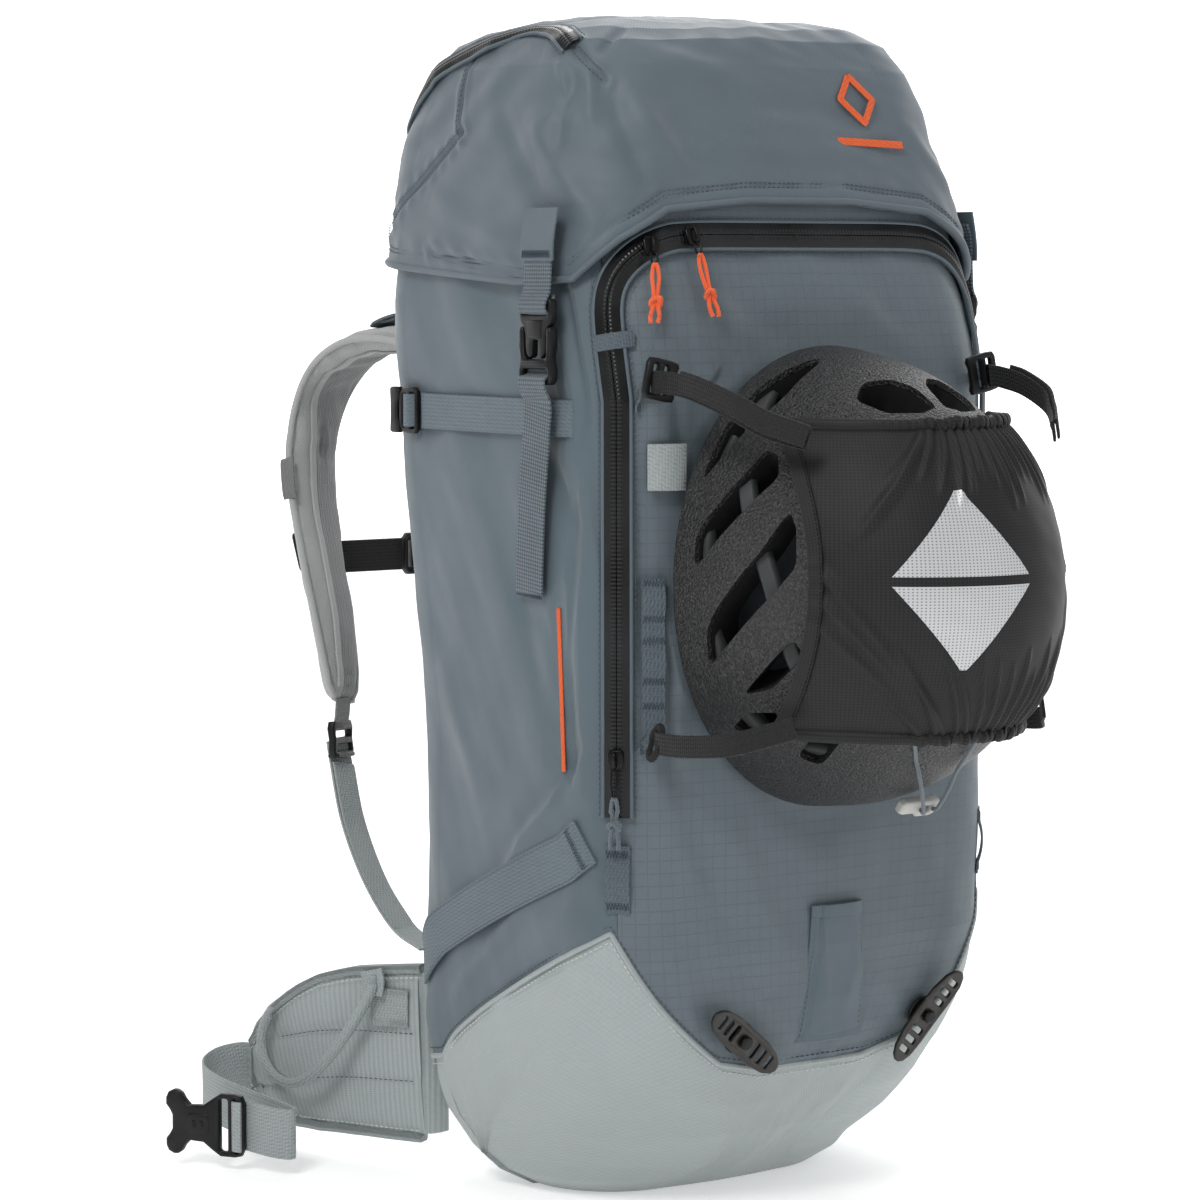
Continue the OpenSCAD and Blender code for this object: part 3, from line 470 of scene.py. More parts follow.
# ---- The bag's outline, as in the CAD source -------------------------------------------------------------
HALF_W = 137
LID_TOP = 656
CROWN = 3
SIDE_X = HALF_W + CROWN
BAG = {
    "half_w": ((0, 92), (10, 110), (20, 119), (40, 129), (60, 134), (90, HALF_W), (480, HALF_W),
               (560, HALF_W - 5), (600, HALF_W - 17)),
    "back": ((0, 66), (10, 78), (20, 86), (40, 94), (60, 99), (90, 103), (250, 103), (300, 108),
             (400, 126), (500, 137), (560, 132), (600, 122)),
    "front": ((0, -25), (10, -42), (20, -55), (40, -78), (60, -93), (80, -104), (100, -111),
              (120, -115), (150, -118), (450, -117), (500, -106), (540, -92), (560, -86), (600, -70)),
    "back_r": ((0, 38), (20, 45), (600, 45)),
    "front_r": ((0, 50), (10, 72), (20, 92), (40, 95), (60, 88), (80, 78), (100, 68), (120, 60),
                (150, 52), (200, 48), (600, 48)),
}
LID = {
    "half_w": ((500, HALF_W + 3), (560, HALF_W), (600, HALF_W - 6), (630, HALF_W - 15),
               (LID_TOP - 11, HALF_W - 25), (LID_TOP - 4, HALF_W - 37), (LID_TOP, HALF_W - 53)),
    "back": ((500, 143), (540, 141), (575, 136), (600, 131), (630, 120), (LID_TOP - 11, 108),
             (LID_TOP - 4, 96), (LID_TOP, 80)),
    "front": ((500, -112), (540, -99), (575, -86), (600, -78), (630, -68), (LID_TOP - 11, -60),
              (LID_TOP - 4, -50), (LID_TOP, -36)),
    "back_r": ((500, 48), (LID_TOP, 48)),
    "front_r": ((500, 48), (LID_TOP, 48)),
}
BOTTOM_SEAM = ((-1.5, 66), (-0.5, 67), (0, 74), (1, 148), (1.4, 165), (1.7, 125), (2, 88), (2.2, 82),
               (2.8, 82), (3, 88), (3.3, 125), (3.6, 165), (4, 148), (5, 74), (5.5, 67), (6.5, 66))
LID_EDGE = ((-1.5, 526), (-0.5, 524), (0, 520), (0.8, 512), (1.2, 514), (1.6, 535), (2, 551), (2.3, 556),
            (2.7, 556), (3, 551), (3.4, 535), (3.8, 514), (4.2, 512), (5, 520), (5.5, 524), (6.5, 526))


def look(table, x):
    """A table of (x, value) pairs read at x, straight between its rows."""
    return np.interp(x, [p[0] for p in table], [p[1] for p in table])


def around(table, u):
    """A table of heights read round the outline at u."""
    u = np.mod(np.asarray(u, float), 8)
    return look(table, np.where(u > 6.5, u - 8, u))


def normal_at(u):
    """The outward normal at u: from 0 to 8 round the outline, a straight side and a corner by turns."""
    v = np.mod(np.asarray(u, float), 8)
    k = np.floor(v)
    a = np.radians(180 + 90 * np.floor(k / 2) + np.where(k % 2 == 1, 90 * (v - k), 0))
    return np.stack([np.cos(a), np.sin(a), np.zeros_like(a)], -1)


def at(shape, u, z, off=0.0):
    """Points on an outline at u round it and height z, off outwards. All in mm."""
    u, z, off = np.broadcast_arrays(np.asarray(u, float), np.asarray(z, float), np.asarray(off, float))
    v = np.mod(u, 8)
    k = np.floor(v).astype(int)
    f = v - k
    a, b, c, rb, rf = (look(shape[n], z) for n in ("half_w", "back", "front", "back_r", "front_r"))
    centres = [(-a + rf, c + rf, rf), (a - rf, c + rf, rf), (a - rb, b - rb, rb), (-a + rb, b - rb, rb)]
    i = k // 2
    cx, cy, cr = (np.choose(i, [centres[j][n] for j in range(4)]) for n in range(3))
    px, py, pr = (np.choose(i, [centres[(j + 3) % 4][n] for j in range(4)]) for n in range(3))
    n = normal_at(u)
    straight = k % 2 == 0
    bx = np.where(straight, (1 - f) * (px + pr * n[..., 0]) + f * (cx + cr * n[..., 0]), cx + cr * n[..., 0])
    by = np.where(straight, (1 - f) * (py + pr * n[..., 1]) + f * (cy + cr * n[..., 1]), cy + cr * n[..., 1])
    push = off + np.where(straight, CROWN * np.sin(math.pi * f), 0)
    return np.stack([bx + push * n[..., 0], by + push * n[..., 1], z], -1)


def arc_length(shape, u, z=330):
    """Distance round the outline at one height, so that a weave keeps its scale."""
    grid = np.linspace(-2, 10, 1201)
    p = at(shape, grid, z)
    s = np.concatenate([[0], np.cumsum(np.linalg.norm(np.diff(p, axis=0), axis=1))])
    return np.interp(u, grid, s)


# ---- Mesh tools ------------------------------------------------------------------------------------------
def smooth_noise(x, y, scale, seed, stretch=(1.0, 1.0), octaves=3):
    """Soft noise from a few seeded waves, about -1 to 1."""
    rng = np.random.default_rng(seed)
    out = np.zeros(np.broadcast(x, y).shape)
    gain, total = 1.0, 0.0
    for octave in range(octaves):
        for _ in range(5):
            a, phase = rng.uniform(0, 2 * math.pi, 2)
            k = 2 * math.pi / scale * (2 ** octave) * rng.uniform(0.6, 1.3)
            out += gain * np.sin(k * (np.cos(a) * x * stretch[0] + np.sin(a) * y * stretch[1]) + phase)
            total += gain
        gain *= 0.5
    return out / total * 2.2


def fold(x, y, a, b, width, height):
    """A soft ridge or, with a negative height, a crease from a to b."""
    a, b = np.array(a, float), np.array(b, float)
    d = b - a
    t = np.clip(((x - a[0]) * d[0] + (y - a[1]) * d[1]) / (d @ d), 0, 1)
    r = np.hypot(x - a[0] - t * d[0], y - a[1] - t * d[1])
    ends = np.sin(math.pi * np.clip(t, 0.02, 0.98)) ** 0.5
    return height * ends * np.exp(-(r / width) ** 2)


def folds(s, z, table):
    """The sum of a table of folds, each a row of a, b, width and height."""
    return sum(fold(s, z, *row) for row in table)


def link_object(name, mesh, material, smooth=True):
    obj = bpy.data.objects.new(name, mesh)
    bpy.context.collection.objects.link(obj)
    if material is not None:
        mesh.materials.append(MAT[material])
    if smooth:
        mesh.shade_smooth()
    return obj


def store_cloth(mesh, uv):
    """Keeps metres across and along the cloth on every point, for the weaves."""
    layer = mesh.attributes.new("cloth", "FLOAT_VECTOR", "POINT")
    data = np.zeros((len(mesh.vertices), 3))
    data[:, :2] = uv
    layer.data.foreach_set("vector", data.ravel())


def face_outwards(mesh):
    bm = bmesh.new()
    bm.from_mesh(mesh)
    bmesh.ops.recalc_face_normals(bm, faces=bm.faces)
    bm.to_mesh(mesh)
    bm.free()


def grid_faces(ni, nj, closed_i=False, closed_j=False):
    faces = []
    for i in range(ni if closed_i else ni - 1):
        for j in range(nj if closed_j else nj - 1):
            a, b = i * nj + j, ((i + 1) % ni) * nj + j
            faces.append((a, b, ((i + 1) % ni) * nj + (j + 1) % nj, i * nj + (j + 1) % nj))
    return faces


def grid_object(name, points, cloth, material, closed_i=False, thickness=0.0, subdivide=0, caps=()):
    """A sheet from rows of points in mm. It gets its thickness inwards."""
    ni, nj = points.shape[:2]
    mesh = bpy.data.meshes.new(name)
    faces = grid_faces(ni, nj, closed_i) + [tuple(c) for c in caps]
    mesh.from_pydata((points.reshape(-1, 3) * MM).tolist(), [], faces)
    store_cloth(mesh, cloth.reshape(-1, 2) * MM)
    obj = link_object(name, mesh, material)
    if subdivide:
        m = obj.modifiers.new("smooth", "SUBSURF")
        m.levels = m.render_levels = subdivide
    if thickness:
        m = obj.modifiers.new("thick", "SOLIDIFY")
        m.thickness = thickness * MM
        m.offset = -1
    return obj


def displaced(points, d):
    """Grid points moved along the grid's own normals by d."""
    du = np.gradient(points, axis=0)
    dv = np.gradient(points, axis=1)
    n = np.cross(du, dv)
    n /= np.maximum(np.linalg.norm(n, axis=-1, keepdims=True), 1e-9)
    return points + n * d[..., None]


def unit(v):
    return v / np.maximum(np.linalg.norm(v, axis=-1, keepdims=True), 1e-9)


def smooth_path(points, n):
    """Catmull-Rom through given points, evenly spaced along its length."""
    p = np.asarray(points, float)
    q = np.vstack([2 * p[0] - p[1], p, 2 * p[-1] - p[-2]])
    out = []
    for i in range(1, len(q) - 2):
        t = np.linspace(0, 1, 24, endpoint=False)[:, None]
        a, b, c, d = q[i - 1:i + 3]
        out.append(0.5 * (2 * b + (c - a) * t + (2 * a - 5 * b + 4 * c - d) * t ** 2
                          + (3 * b - a - 3 * c + d) * t ** 3))
    out = np.vstack(out + [q[-2:-1]])
    s = np.concatenate([[0], np.cumsum(np.linalg.norm(np.diff(out, axis=0), axis=1))])
    return np.stack([np.interp(np.linspace(0, s[-1], n), s, out[:, k]) for k in range(out.shape[1])], -1)


def lengths(p):
    return np.concatenate([[0], np.cumsum(np.linalg.norm(np.diff(p, axis=0), axis=1))])


def swept(name, path, side, profile, material, closed=False):
    """A profile, as (across, out) points or one such row per station, swept along a path."""
    path = np.asarray(path, float)
    n = len(path)
    tangent = unit(np.gradient(path, axis=0))
    side = np.broadcast_to(np.asarray(side, float), path.shape)
    side = unit(side - (side * tangent).sum(-1, keepdims=True) * tangent)
    out = np.cross(tangent, side)
    profile = np.broadcast_to(np.asarray(profile, float), (n,) + np.shape(profile)[-2:])
    points = (path[:, None] + profile[..., :1] * side[:, None] + profile[..., 1:2] * out[:, None])
    k = profile.shape[1]
    loop = np.linalg.norm(np.diff(np.concatenate([profile[n // 2], profile[n // 2][:1]]), axis=0), axis=1)
    ring = np.concatenate([[0], np.cumsum(loop)])[:-1]
    s = lengths(path)
    flat = np.ptp(profile[n // 2][:, 0]) > 2.5 * np.ptp(profile[n // 2][:, 1])
    cloth = np.stack([profile[..., 0] if flat else np.broadcast_to(ring, (n, k)),
                      np.broadcast_to(s[:, None], (n, k))], -1)
    faces = grid_faces(n, k, closed, True)
    if not closed:
        faces += [tuple(range(k))[::-1], tuple((n - 1) * k + i for i in range(k))]
    mesh = bpy.data.meshes.new(name)
    mesh.from_pydata((points.reshape(-1, 3) * MM).tolist(), [], faces)
    store_cloth(mesh, cloth.reshape(-1, 2) * MM)
    mesh.update()
    face_outwards(mesh)
    obj = link_object(name, mesh, material)
    mesh.set_sharp_from_angle(angle=math.radians(55))
    return obj


def web_profile(width, thick):
    """Webbing's section: flat faces, rounded selvedges."""
    w, t = width / 2, thick / 2
    half = [(-w, 0), (-w + t * 0.5, t), (-w * 0.5, t * 1.05), (0, t * 1.05), (w * 0.5, t * 1.05),
            (w - t * 0.5, t)]
    return np.array(half + [(w, 0)] + [(x, -y) for x, y in half[:0:-1]])


def round_profile(r, sides=12, squash=1.0):
    a = np.linspace(0, 2 * math.pi, sides, endpoint=False)
    return np.stack([r * np.cos(a), r * squash * np.sin(a)], -1)


def webbing(name, path, side, width, thick=1.5, material="webbing", n=60):
    return swept(name, smooth_path(path, n), side if np.ndim(side) == 1 else smooth_path(side, n),
                 web_profile(width, thick), material)


def tube(name, path, r, material, n=60, sides=12, closed=False, side=(0.3, 0.2, 1)):
    return swept(name, smooth_path(path, n) if n else path, side, round_profile(r, sides), material, closed)


def join(name, objects):
    objects = [o for o in objects if o is not None]
    bpy.ops.object.select_all(action="DESELECT")
    for o in objects:
        o.select_set(True)
    bpy.context.view_layer.objects.active = objects[0]
    bpy.ops.object.join()
    objects[0].name = name
    return objects[0]


def flat_plate(name, outlines, thick, bevel, material):
    """A plate in the XZ plane from an outline and its holes, in mm, with rounded edges. Y is its depth."""
    curve = bpy.data.curves.new(name, "CURVE")
    curve.dimensions = "2D"
    curve.fill_mode = "BOTH"
    curve.extrude = (thick / 2 - bevel) * MM
    curve.bevel_depth = bevel * MM
    curve.bevel_resolution = 2
    curve.offset = -bevel * MM
    for outline in outlines:
        spline = curve.splines.new("POLY")
        spline.points.add(len(outline) - 1)
        for point, (x, y) in zip(spline.points, outline):
            point.co = (x * MM, y * MM, 0, 1)
        spline.use_cyclic_u = True
    holder = bpy.data.objects.new(name, curve)
    bpy.context.collection.objects.link(holder)
    depsgraph = bpy.context.evaluated_depsgraph_get()
    mesh = bpy.data.meshes.new_from_object(holder.evaluated_get(depsgraph))
    bpy.data.objects.remove(holder)
    mesh.name = name
    mesh.materials.clear()
    co = np.empty(len(mesh.vertices) * 3)
    mesh.vertices.foreach_get("co", co)
    co = co.reshape(-1, 3)[:, [0, 2, 1]] * (1, -1, 1)
    mesh.vertices.foreach_set("co", co.ravel())
    mesh.update()
    store_cloth(mesh, co[:, [0, 2]])
    obj = link_object(name, mesh, material)
    bm = bmesh.new()
    bm.from_mesh(mesh)
    bmesh.ops.remove_doubles(bm, verts=bm.verts, dist=1e-6)
    bmesh.ops.recalc_face_normals(bm, faces=bm.faces)
    bm.to_mesh(mesh)
    bm.free()
    mesh.shade_smooth()
    mesh.set_sharp_from_angle(angle=math.radians(40))
    return obj


def rounded_rect(w, h, r, cx=0.0, cz=0.0, n=5):
    pts = []
    for sx, sz, a0 in ((1, 1, 0), (-1, 1, 90), (-1, -1, 180), (1, -1, 270)):
        for i in range(n + 1):
            a = math.radians(a0 + 90 * i / n)
            pts.append((cx + sx * (w / 2 - r) + r * math.cos(a), cz + sz * (h / 2 - r) + r * math.sin(a)))
    return pts


def rounded_box(name, size, r, material, centre=(0, 0, 0)):
    mesh = bpy.data.meshes.new(name)
    bm = bmesh.new()
    bmesh.ops.create_cube(bm, size=1)
    bmesh.ops.scale(bm, vec=[s * MM for s in size], verts=bm.verts)
    bmesh.ops.translate(bm, vec=[c * MM for c in centre], verts=bm.verts)
    bmesh.ops.bevel(bm, geom=bm.edges[:] + bm.verts[:], offset=r * MM, segments=3, profile=0.6,
                    affect="EDGES", clamp_overlap=True)
    bm.to_mesh(mesh)
    bm.free()
    obj = link_object(name, mesh, material)
    mesh.set_sharp_from_angle(angle=math.radians(40))
    return obj


def turned(obj, basis, origin):
    """Bakes a placement: basis rows are where the piece's X, Y and Z go; origin is in mm."""
    mesh = obj.data
    co = np.empty(len(mesh.vertices) * 3)
    mesh.vertices.foreach_get("co", co)
    co = co.reshape(-1, 3) @ np.asarray(basis, float) + np.asarray(origin, float) * MM
    mesh.vertices.foreach_set("co", co.ravel())
    mesh.update()
    if np.linalg.det(np.asarray(basis, float)) < 0:
        mesh.flip_normals()
    return obj


def mirrored(obj, name):
    """A copy across the pack's middle plane."""
    copy = obj.copy()
    copy.data = obj.data.copy()
    copy.name = name
    bpy.context.collection.objects.link(copy)
    return turned(copy, np.diag([-1.0, 1, 1]), (0, 0, 0))


def face_basis(shape, u, z):
    """Axes standing on an outline: X to the right seen from outside, -Y outwards, Z up the cloth."""
    n = normal_at(u)
    across = np.array([-n[1], n[0], 0.0])
    out = unit(np.cross(across, up_at(shape, u, z)))
    up = np.cross(across, -out)
    return np.stack([across, -out, up])


def on_face(obj, shape, u, z, off, roll=0.0):
    """Puts a piece drawn in the XZ plane onto the pack's face, rolled about the outward normal."""
    b = face_basis(shape, u, z)
    c, s = math.cos(math.radians(roll)), math.sin(math.radians(roll))
    b = np.stack([c * b[0] + s * b[2], b[1], -s * b[0] + c * b[2]])
    return turned(obj, b, over(shape, u, z, off))


def face_points(shape, u, z, off, points):
    """Local points, X across, -Y outwards and Z up the cloth, put on the pack's face."""
    return over(shape, u, z, off) + np.asarray(points, float) @ face_basis(shape, u, z)


def dashes(name, path, dirs, length, pitch, r, material, lift=0.0):
    """A row of stitches: little rounded bars along a path, in mm."""
    path = np.asarray(path, float)
    s = lengths(path)
    verts, faces = [], []
    sides = 5
    count = int(s[-1] // pitch)
    for i in range(count):
        ends = [(i + 0.5) * pitch - length / 2, (i + 0.5) * pitch + length / 2]
        a, b = (np.array([np.interp(e, s, path[:, k]) for k in range(3)]) for e in ends)
        n = np.array([np.interp((i + 0.5) * pitch, s, dirs[:, k]) for k in range(3)])
        t = unit(b - a)
        n = unit(n - (n @ t) * t)
        w = np.cross(t, n)
        base = len(verts)
        for p, k in ((a, 0.35), (a + t * length * 0.2, 1), (b - t * length * 0.2, 1), (b, 0.35)):
            for j in range(sides):
                ang = 2 * math.pi * j / sides
                verts.append(p + n * lift + r * k * (math.cos(ang) * w + math.sin(ang) * n))
        for q in range(3):
            for j in range(sides):
                a0, a1 = base + q * sides + j, base + q * sides + (j + 1) % sides
                faces.append((a0, a1, a1 + sides, a0 + sides))
        faces.append(tuple(base + j for j in range(sides))[::-1])
        faces.append(tuple(base + 3 * sides + j for j in range(sides)))
    mesh = bpy.data.meshes.new(name)
    mesh.from_pydata((np.array(verts) * MM).tolist(), [], faces)
    store_cloth(mesh, np.zeros((len(verts), 2)))
    return link_object(name, mesh, material)


def ride(obj, body, replaces=()):
    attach(obj, body)
    if replaces:
        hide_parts(*replaces)
    return obj


# ---- Bag panels ------------------------------------------------------------------------------------------
def up_at(shape, u, z):
    return unit(at(shape, u, np.asarray(z) + 4) - at(shape, u, np.asarray(z) - 4))


def out_at(shape, u, z):
    u = np.asarray(u, float)
    return unit(np.cross(at(shape, u + 0.04, z) - at(shape, u - 0.04, z), up_at(shape, u, z)))


def over(shape, u, z, off):
    """A point lifted square to an outline's face."""
    return at(shape, u, z) + np.asarray(off)[..., None] * out_at(shape, u, z)


def side_s(u):
    return arc_length(BAG, u) - arc_length(BAG, 0.0)


def front_s(u):
    return arc_length(BAG, u) - arc_length(BAG, 2.5)


def gap_to(x, y, line):
    """Distance from cloth points to a line drawn on the cloth."""
    best = np.full(np.broadcast(x, y).shape, 1e9)
    for (ax, ay), (bx, by) in zip(line[:-1], line[1:]):
        t = np.clip(((x - ax) * (bx - ax) + (y - ay) * (by - ay)) / ((bx - ax) ** 2 + (by - ay) ** 2), 0, 1)
        best = np.minimum(best, np.hypot(x - ax - t * (bx - ax), y - ay - t * (by - ay)))
    return best


def bedded(d, s, z, lines, top=0.4):
    """Cloth held down under straps and zips, with a soft dip along their edges."""
    for line, half in lines:
        g = np.maximum(gap_to(s, z, line) - half, 0)
        d = np.minimum(d - 0.9 * np.exp(-(g / 6) ** 2), top + 0.16 * g)
    return d


UPPER_Z = 440
LOWER_ROUTE = [(1.2 - 1.55 * f, 214 - 84 * f - 8 * f * f) for f in np.linspace(0, 1, 31)]
SIDE_LINES = [
    ([(side_s(1.45), 200), (side_s(1.45), 560)], 9),
    ([(side_s(0.955), 342), (side_s(0.985), 246)], 3.5),
    ([(side_s(0.92), 470), (side_s(0.90), 430), (side_s(0.87), 390), (side_s(0.83), 344)], 13),
    ([(side_s(0.1), UPPER_Z), (side_s(1.0), UPPER_Z)], 10),
    ([(side_s(-0.5), UPPER_Z), (side_s(0.14), UPPER_Z)], 12),
    ([(side_s(u), z) for u, z in LOWER_ROUTE[::3]], 13.5),
]


def panel_points(u0, u1, nu, low, high, nz, bend):
    u = np.linspace(u0, u1, nu)[:, None]
    t = np.linspace(0, 1, nz)[None, :]
    z = around(low, u) + t * (high - around(low, u))
    p = at(BAG, u, z)
    s = arc_length(BAG, u) + 0 * z
    return displaced(p, bend(u + 0 * z, z, s)), np.stack([s, z], -1)


# Each fold: its two ends as (along the panel, height), its width and its height out of the cloth
SIDE_FOLDS = [
    ((128, 520), (150, 380), 8, 2.6), ((150, 500), (160, 372), 5, -2.6),
    ((120, 425), (150, 380), 6, -1.8), ((20, 458), (120, 475), 10, 1.4), ((150, 250), (30, 150), 9, 2.2),
    ((165, 275), (60, 185), 7, -2.2), ((175, 320), (150, 205), 8, 2.6), ((0, 300), (60, 210), 12, 1.6),
    ((100, 400), (150, 300), 9, 1.5), ((80, 380), (130, 260), 9, -1.2), ((120, 190), (20, 110), 7, 1.8),
    ((150, 160), (60, 100), 6, -1.6)
]


def side_bend(u, z, s):
    """Soft drapes on a full side: long slanting folds that end at the zip and the compression straps."""
    s = s - arc_length(BAG, 0.0)
    d = 1.5 * smooth_noise(s, z, 190, 3, (1.0, 0.5))
    d += 0.8 * smooth_noise(s + 0.6 * z, z, 60, 5, (1.0, 0.25))
    d += folds(s, z, SIDE_FOLDS)
    gusset = np.clip((z - 215) / 40, 0, 1) * np.clip((548 - z) / 40, 0, 1)
    d *= 1.25
    d += gusset * 3.0 * np.exp(-((s - side_s(1.24)) / 8) ** 2)
    d -= gusset * 2.6 * np.exp(-((s - side_s(1.10) - 4 * np.sin(z / 60)) / 5) ** 2)
    d -= gusset * 1.6 * np.exp(-((s - side_s(1.37)) / 3) ** 2)
    d = bedded(d, s, z, SIDE_LINES)
    return d * np.clip((z - 66) / 30, 0.1, 1) * np.clip((s + 45) / 25, 0, 1)


HELMET_AT = np.array([-5.0, -126, 353])
HELMET_HALF = np.array([101.0, 124, 148])
ZIP_U, ZIP_TOP, ZIP_Z = 1.45, 494, 537


def zip_line():
    run = [(ZIP_U, z) for z in np.linspace(228, ZIP_TOP, 24)]
    turn = [(2.15 - 0.7 * math.cos(a), ZIP_TOP + (ZIP_Z - ZIP_TOP) * math.sin(a))
            for a in np.radians(np.arange(7.5, 91, 7.5))]
    top = [(u, ZIP_Z) for u in np.linspace(2.25, 2.75, 7)]
    back = [(5 - u, z) for u, z in turn[::-1]]
    return run + turn + top + back + [(5 - ZIP_U, z) for z in np.linspace(ZIP_TOP, 400, 9)]


# Folds on the front, as in SIDE_FOLDS
FRONT_FOLDS = [
    ((-90, 505), (-60, 430), 7, 2.2), ((-70, 520), (-20, 480), 8, -1.8),
    ((-100, 470), (-92, 400), 5, -2.4), ((-60, 500), (-50, 440), 8, 1.6),
    ((-100, 260), (-60, 150), 9, -2.4), ((-70, 230), (-20, 130), 9, 1.8),
    ((-112, 360), (-88, 290), 6, 2.2), ((60, 240), (95, 150), 9, 1.8),
    ((-104, 330), (-100, 240), 4, -2.2), ((-60, 130), (-20, 95), 6, 1.6), ((40, 130), (80, 100), 6, 1.6),
    ((20, 510), (70, 470), 9, 1.6)
]


def front_bend(u, z, s):
    s = s - arc_length(BAG, 2.5)
    d = 1.3 * smooth_noise(s, z, 170, 11, (1.0, 0.6)) + 0.7 * smooth_noise(s, z, 55, 12, (1.0, 0.4))
    d += folds(s, z, FRONT_FOLDS)
    rim = np.hypot((s - HELMET_AT[0]) / 108, (z - HELMET_AT[2]) / 130)
    d -= 2.0 * np.exp(-((rim - 1) / 0.12) ** 2)
    d = np.where(rim < 1.05, np.minimum(d, -0.3), d)
    route = [(front_s(a), b) for a, b in zip_line()[::2]]
    return bedded(d, s, z, [(route, 9), ([(front_s(1.72), 262), (front_s(1.72), 352)], 6)])


def bottom_bend(u, z, s):
    d = 1.2 * smooth_noise(s, z, 130, 21, (1.0, 1.4)) + 0.6 * smooth_noise(s, z, 45, 22)
    d += fold(s, z, (front_s(1.2) + 0, 130), (front_s(1.2) + 0, 60), 8, 1.2)
    return d * np.clip(z / 30, 0, 1)


def bag_panel(name, u0, u1, nu, nz, bend, material, node, high=560):
    p, cloth = panel_points(u0, u1, nu, BOTTOM_SEAM, high, nz, bend)
    obj = grid_object(name, p, cloth, material, thickness=1.6)
    return ride(obj, "bag", [node])


def bag_bottom():
    nu, nz = 420, 60
    u = np.linspace(0, 8, nu, endpoint=False)[:, None]
    t = np.linspace(0, 1, nz)[None, :] ** 1.6
    seam = around(BOTTOM_SEAM, u)
    z = t * seam
    p = at(BAG, u, z)
    s = arc_length(BAG, u) + 0 * z
    p = displaced(p, bottom_bend(u + 0 * z, z, s))
    p[..., 2] = np.maximum(p[..., 2], 0)
    rings = [p]
    centre = np.array([0, 20, 0])
    for k in (0.8, 0.55, 0.3, 0.08):
        rings.insert(0, (centre + (p[:, :1] - centre) * k))
    full = np.concatenate(rings, axis=1)
    full[:, :4, 2] = 0
    flat = np.stack([full[..., 0], full[..., 1]], -1)
    slope = np.concatenate([np.zeros((nu, 4)),
                            np.cumsum(np.linalg.norm(np.diff(p, axis=1, prepend=p[:, :1]), axis=2),
                                      axis=1)], axis=1)
    cloth = np.where(slope[..., None] > 0, np.stack([s[:, :1] + 0 * slope, slope], -1), flat)
    nj = full.shape[1]
    cap = [tuple(i * nj for i in range(nu))]
    obj = grid_object("bag_bottom", full, cloth, "bottom", closed_i=True, thickness=1.6, caps=cap)
    return ride(obj, "bag", ["bottom_panel"])


def bottom_seam():
    u = np.linspace(0, 8, 500)
    p = over(BAG, u, around(BOTTOM_SEAM, u), 0.5 + 0 * u)
    ridge = swept("bottom_seam_ridge", p, out_at(BAG, u, around(BOTTOM_SEAM, u)), round_profile(1.5, 10),
                  "bottom", closed=True)
    ride(ridge, "bag")
    u = np.linspace(-0.45, 5.45, 600)
    for word, lift, thread in (("upper", 4.5, "thread"), ("lower", -4.5, "thread_pale")):
        z = around(BOTTOM_SEAM, u) + lift
        row = dashes(f"bottom_seam_stitches_{word}", over(BAG, u, z, 0.9 + 0 * u), out_at(BAG, u, z), 2.6,
                     3.6, 0.32, thread)
        ride(row, "bag")


bag_panel("bag_side_left", -0.5, 1.45, 190, 240, side_bend, "body", "side_panel_left")
right_points, right_cloth = panel_points(-0.5, 1.45, 190, BOTTOM_SEAM, 560, 240, side_bend)
right_side = grid_object("bag_side_right", right_points * (-1, 1, 1), right_cloth, "body", thickness=-1.6)
right_side.data.flip_normals()
right_side.modifiers["thick"].thickness = 1.6 * MM
ride(right_side, "bag", ["side_panel_right"])
bag_panel("bag_front", 1.45, 3.55, 250, 260, front_bend, "ripstop", "front_panel")
bag_panel("bag_back", 5.5, 7.5, 120, 160, lambda u, z, s: 0.8 * smooth_noise(s, z, 90, 31), "back",
          "back_panel")
bag_bottom()
bottom_seam()


# ---- Lid -------------------------------------------------------------------------------------------------
def lid_s(u):
    return arc_length(LID, u, 570)


LID_ZIP = [(1.3, 640), (1.15, 647.5), (0.95, 650), (0.7, 649.5), (0.425, 646), (0.15, 640.5), (-0.05, 634),
           (-0.2, 625), (-0.35, 613), (-0.5, 604), (-0.7, 600), (-0.95, 599), (-1.2, 599), (-1.45, 599),
           (-1.7, 599)]
LID_SEAMS = [
    [(1.30, 640), (1.57, 622)],
    [(0.234, 638), (0.30, 620), (0.356, 602), (0.408, 594.6)],
    [(0.408, 594.6), (0.2, 577), (-0.03, 558), (-0.53, 533)],
    [(0.251, 529), (0.6, 521), (0.964, 515)],
]


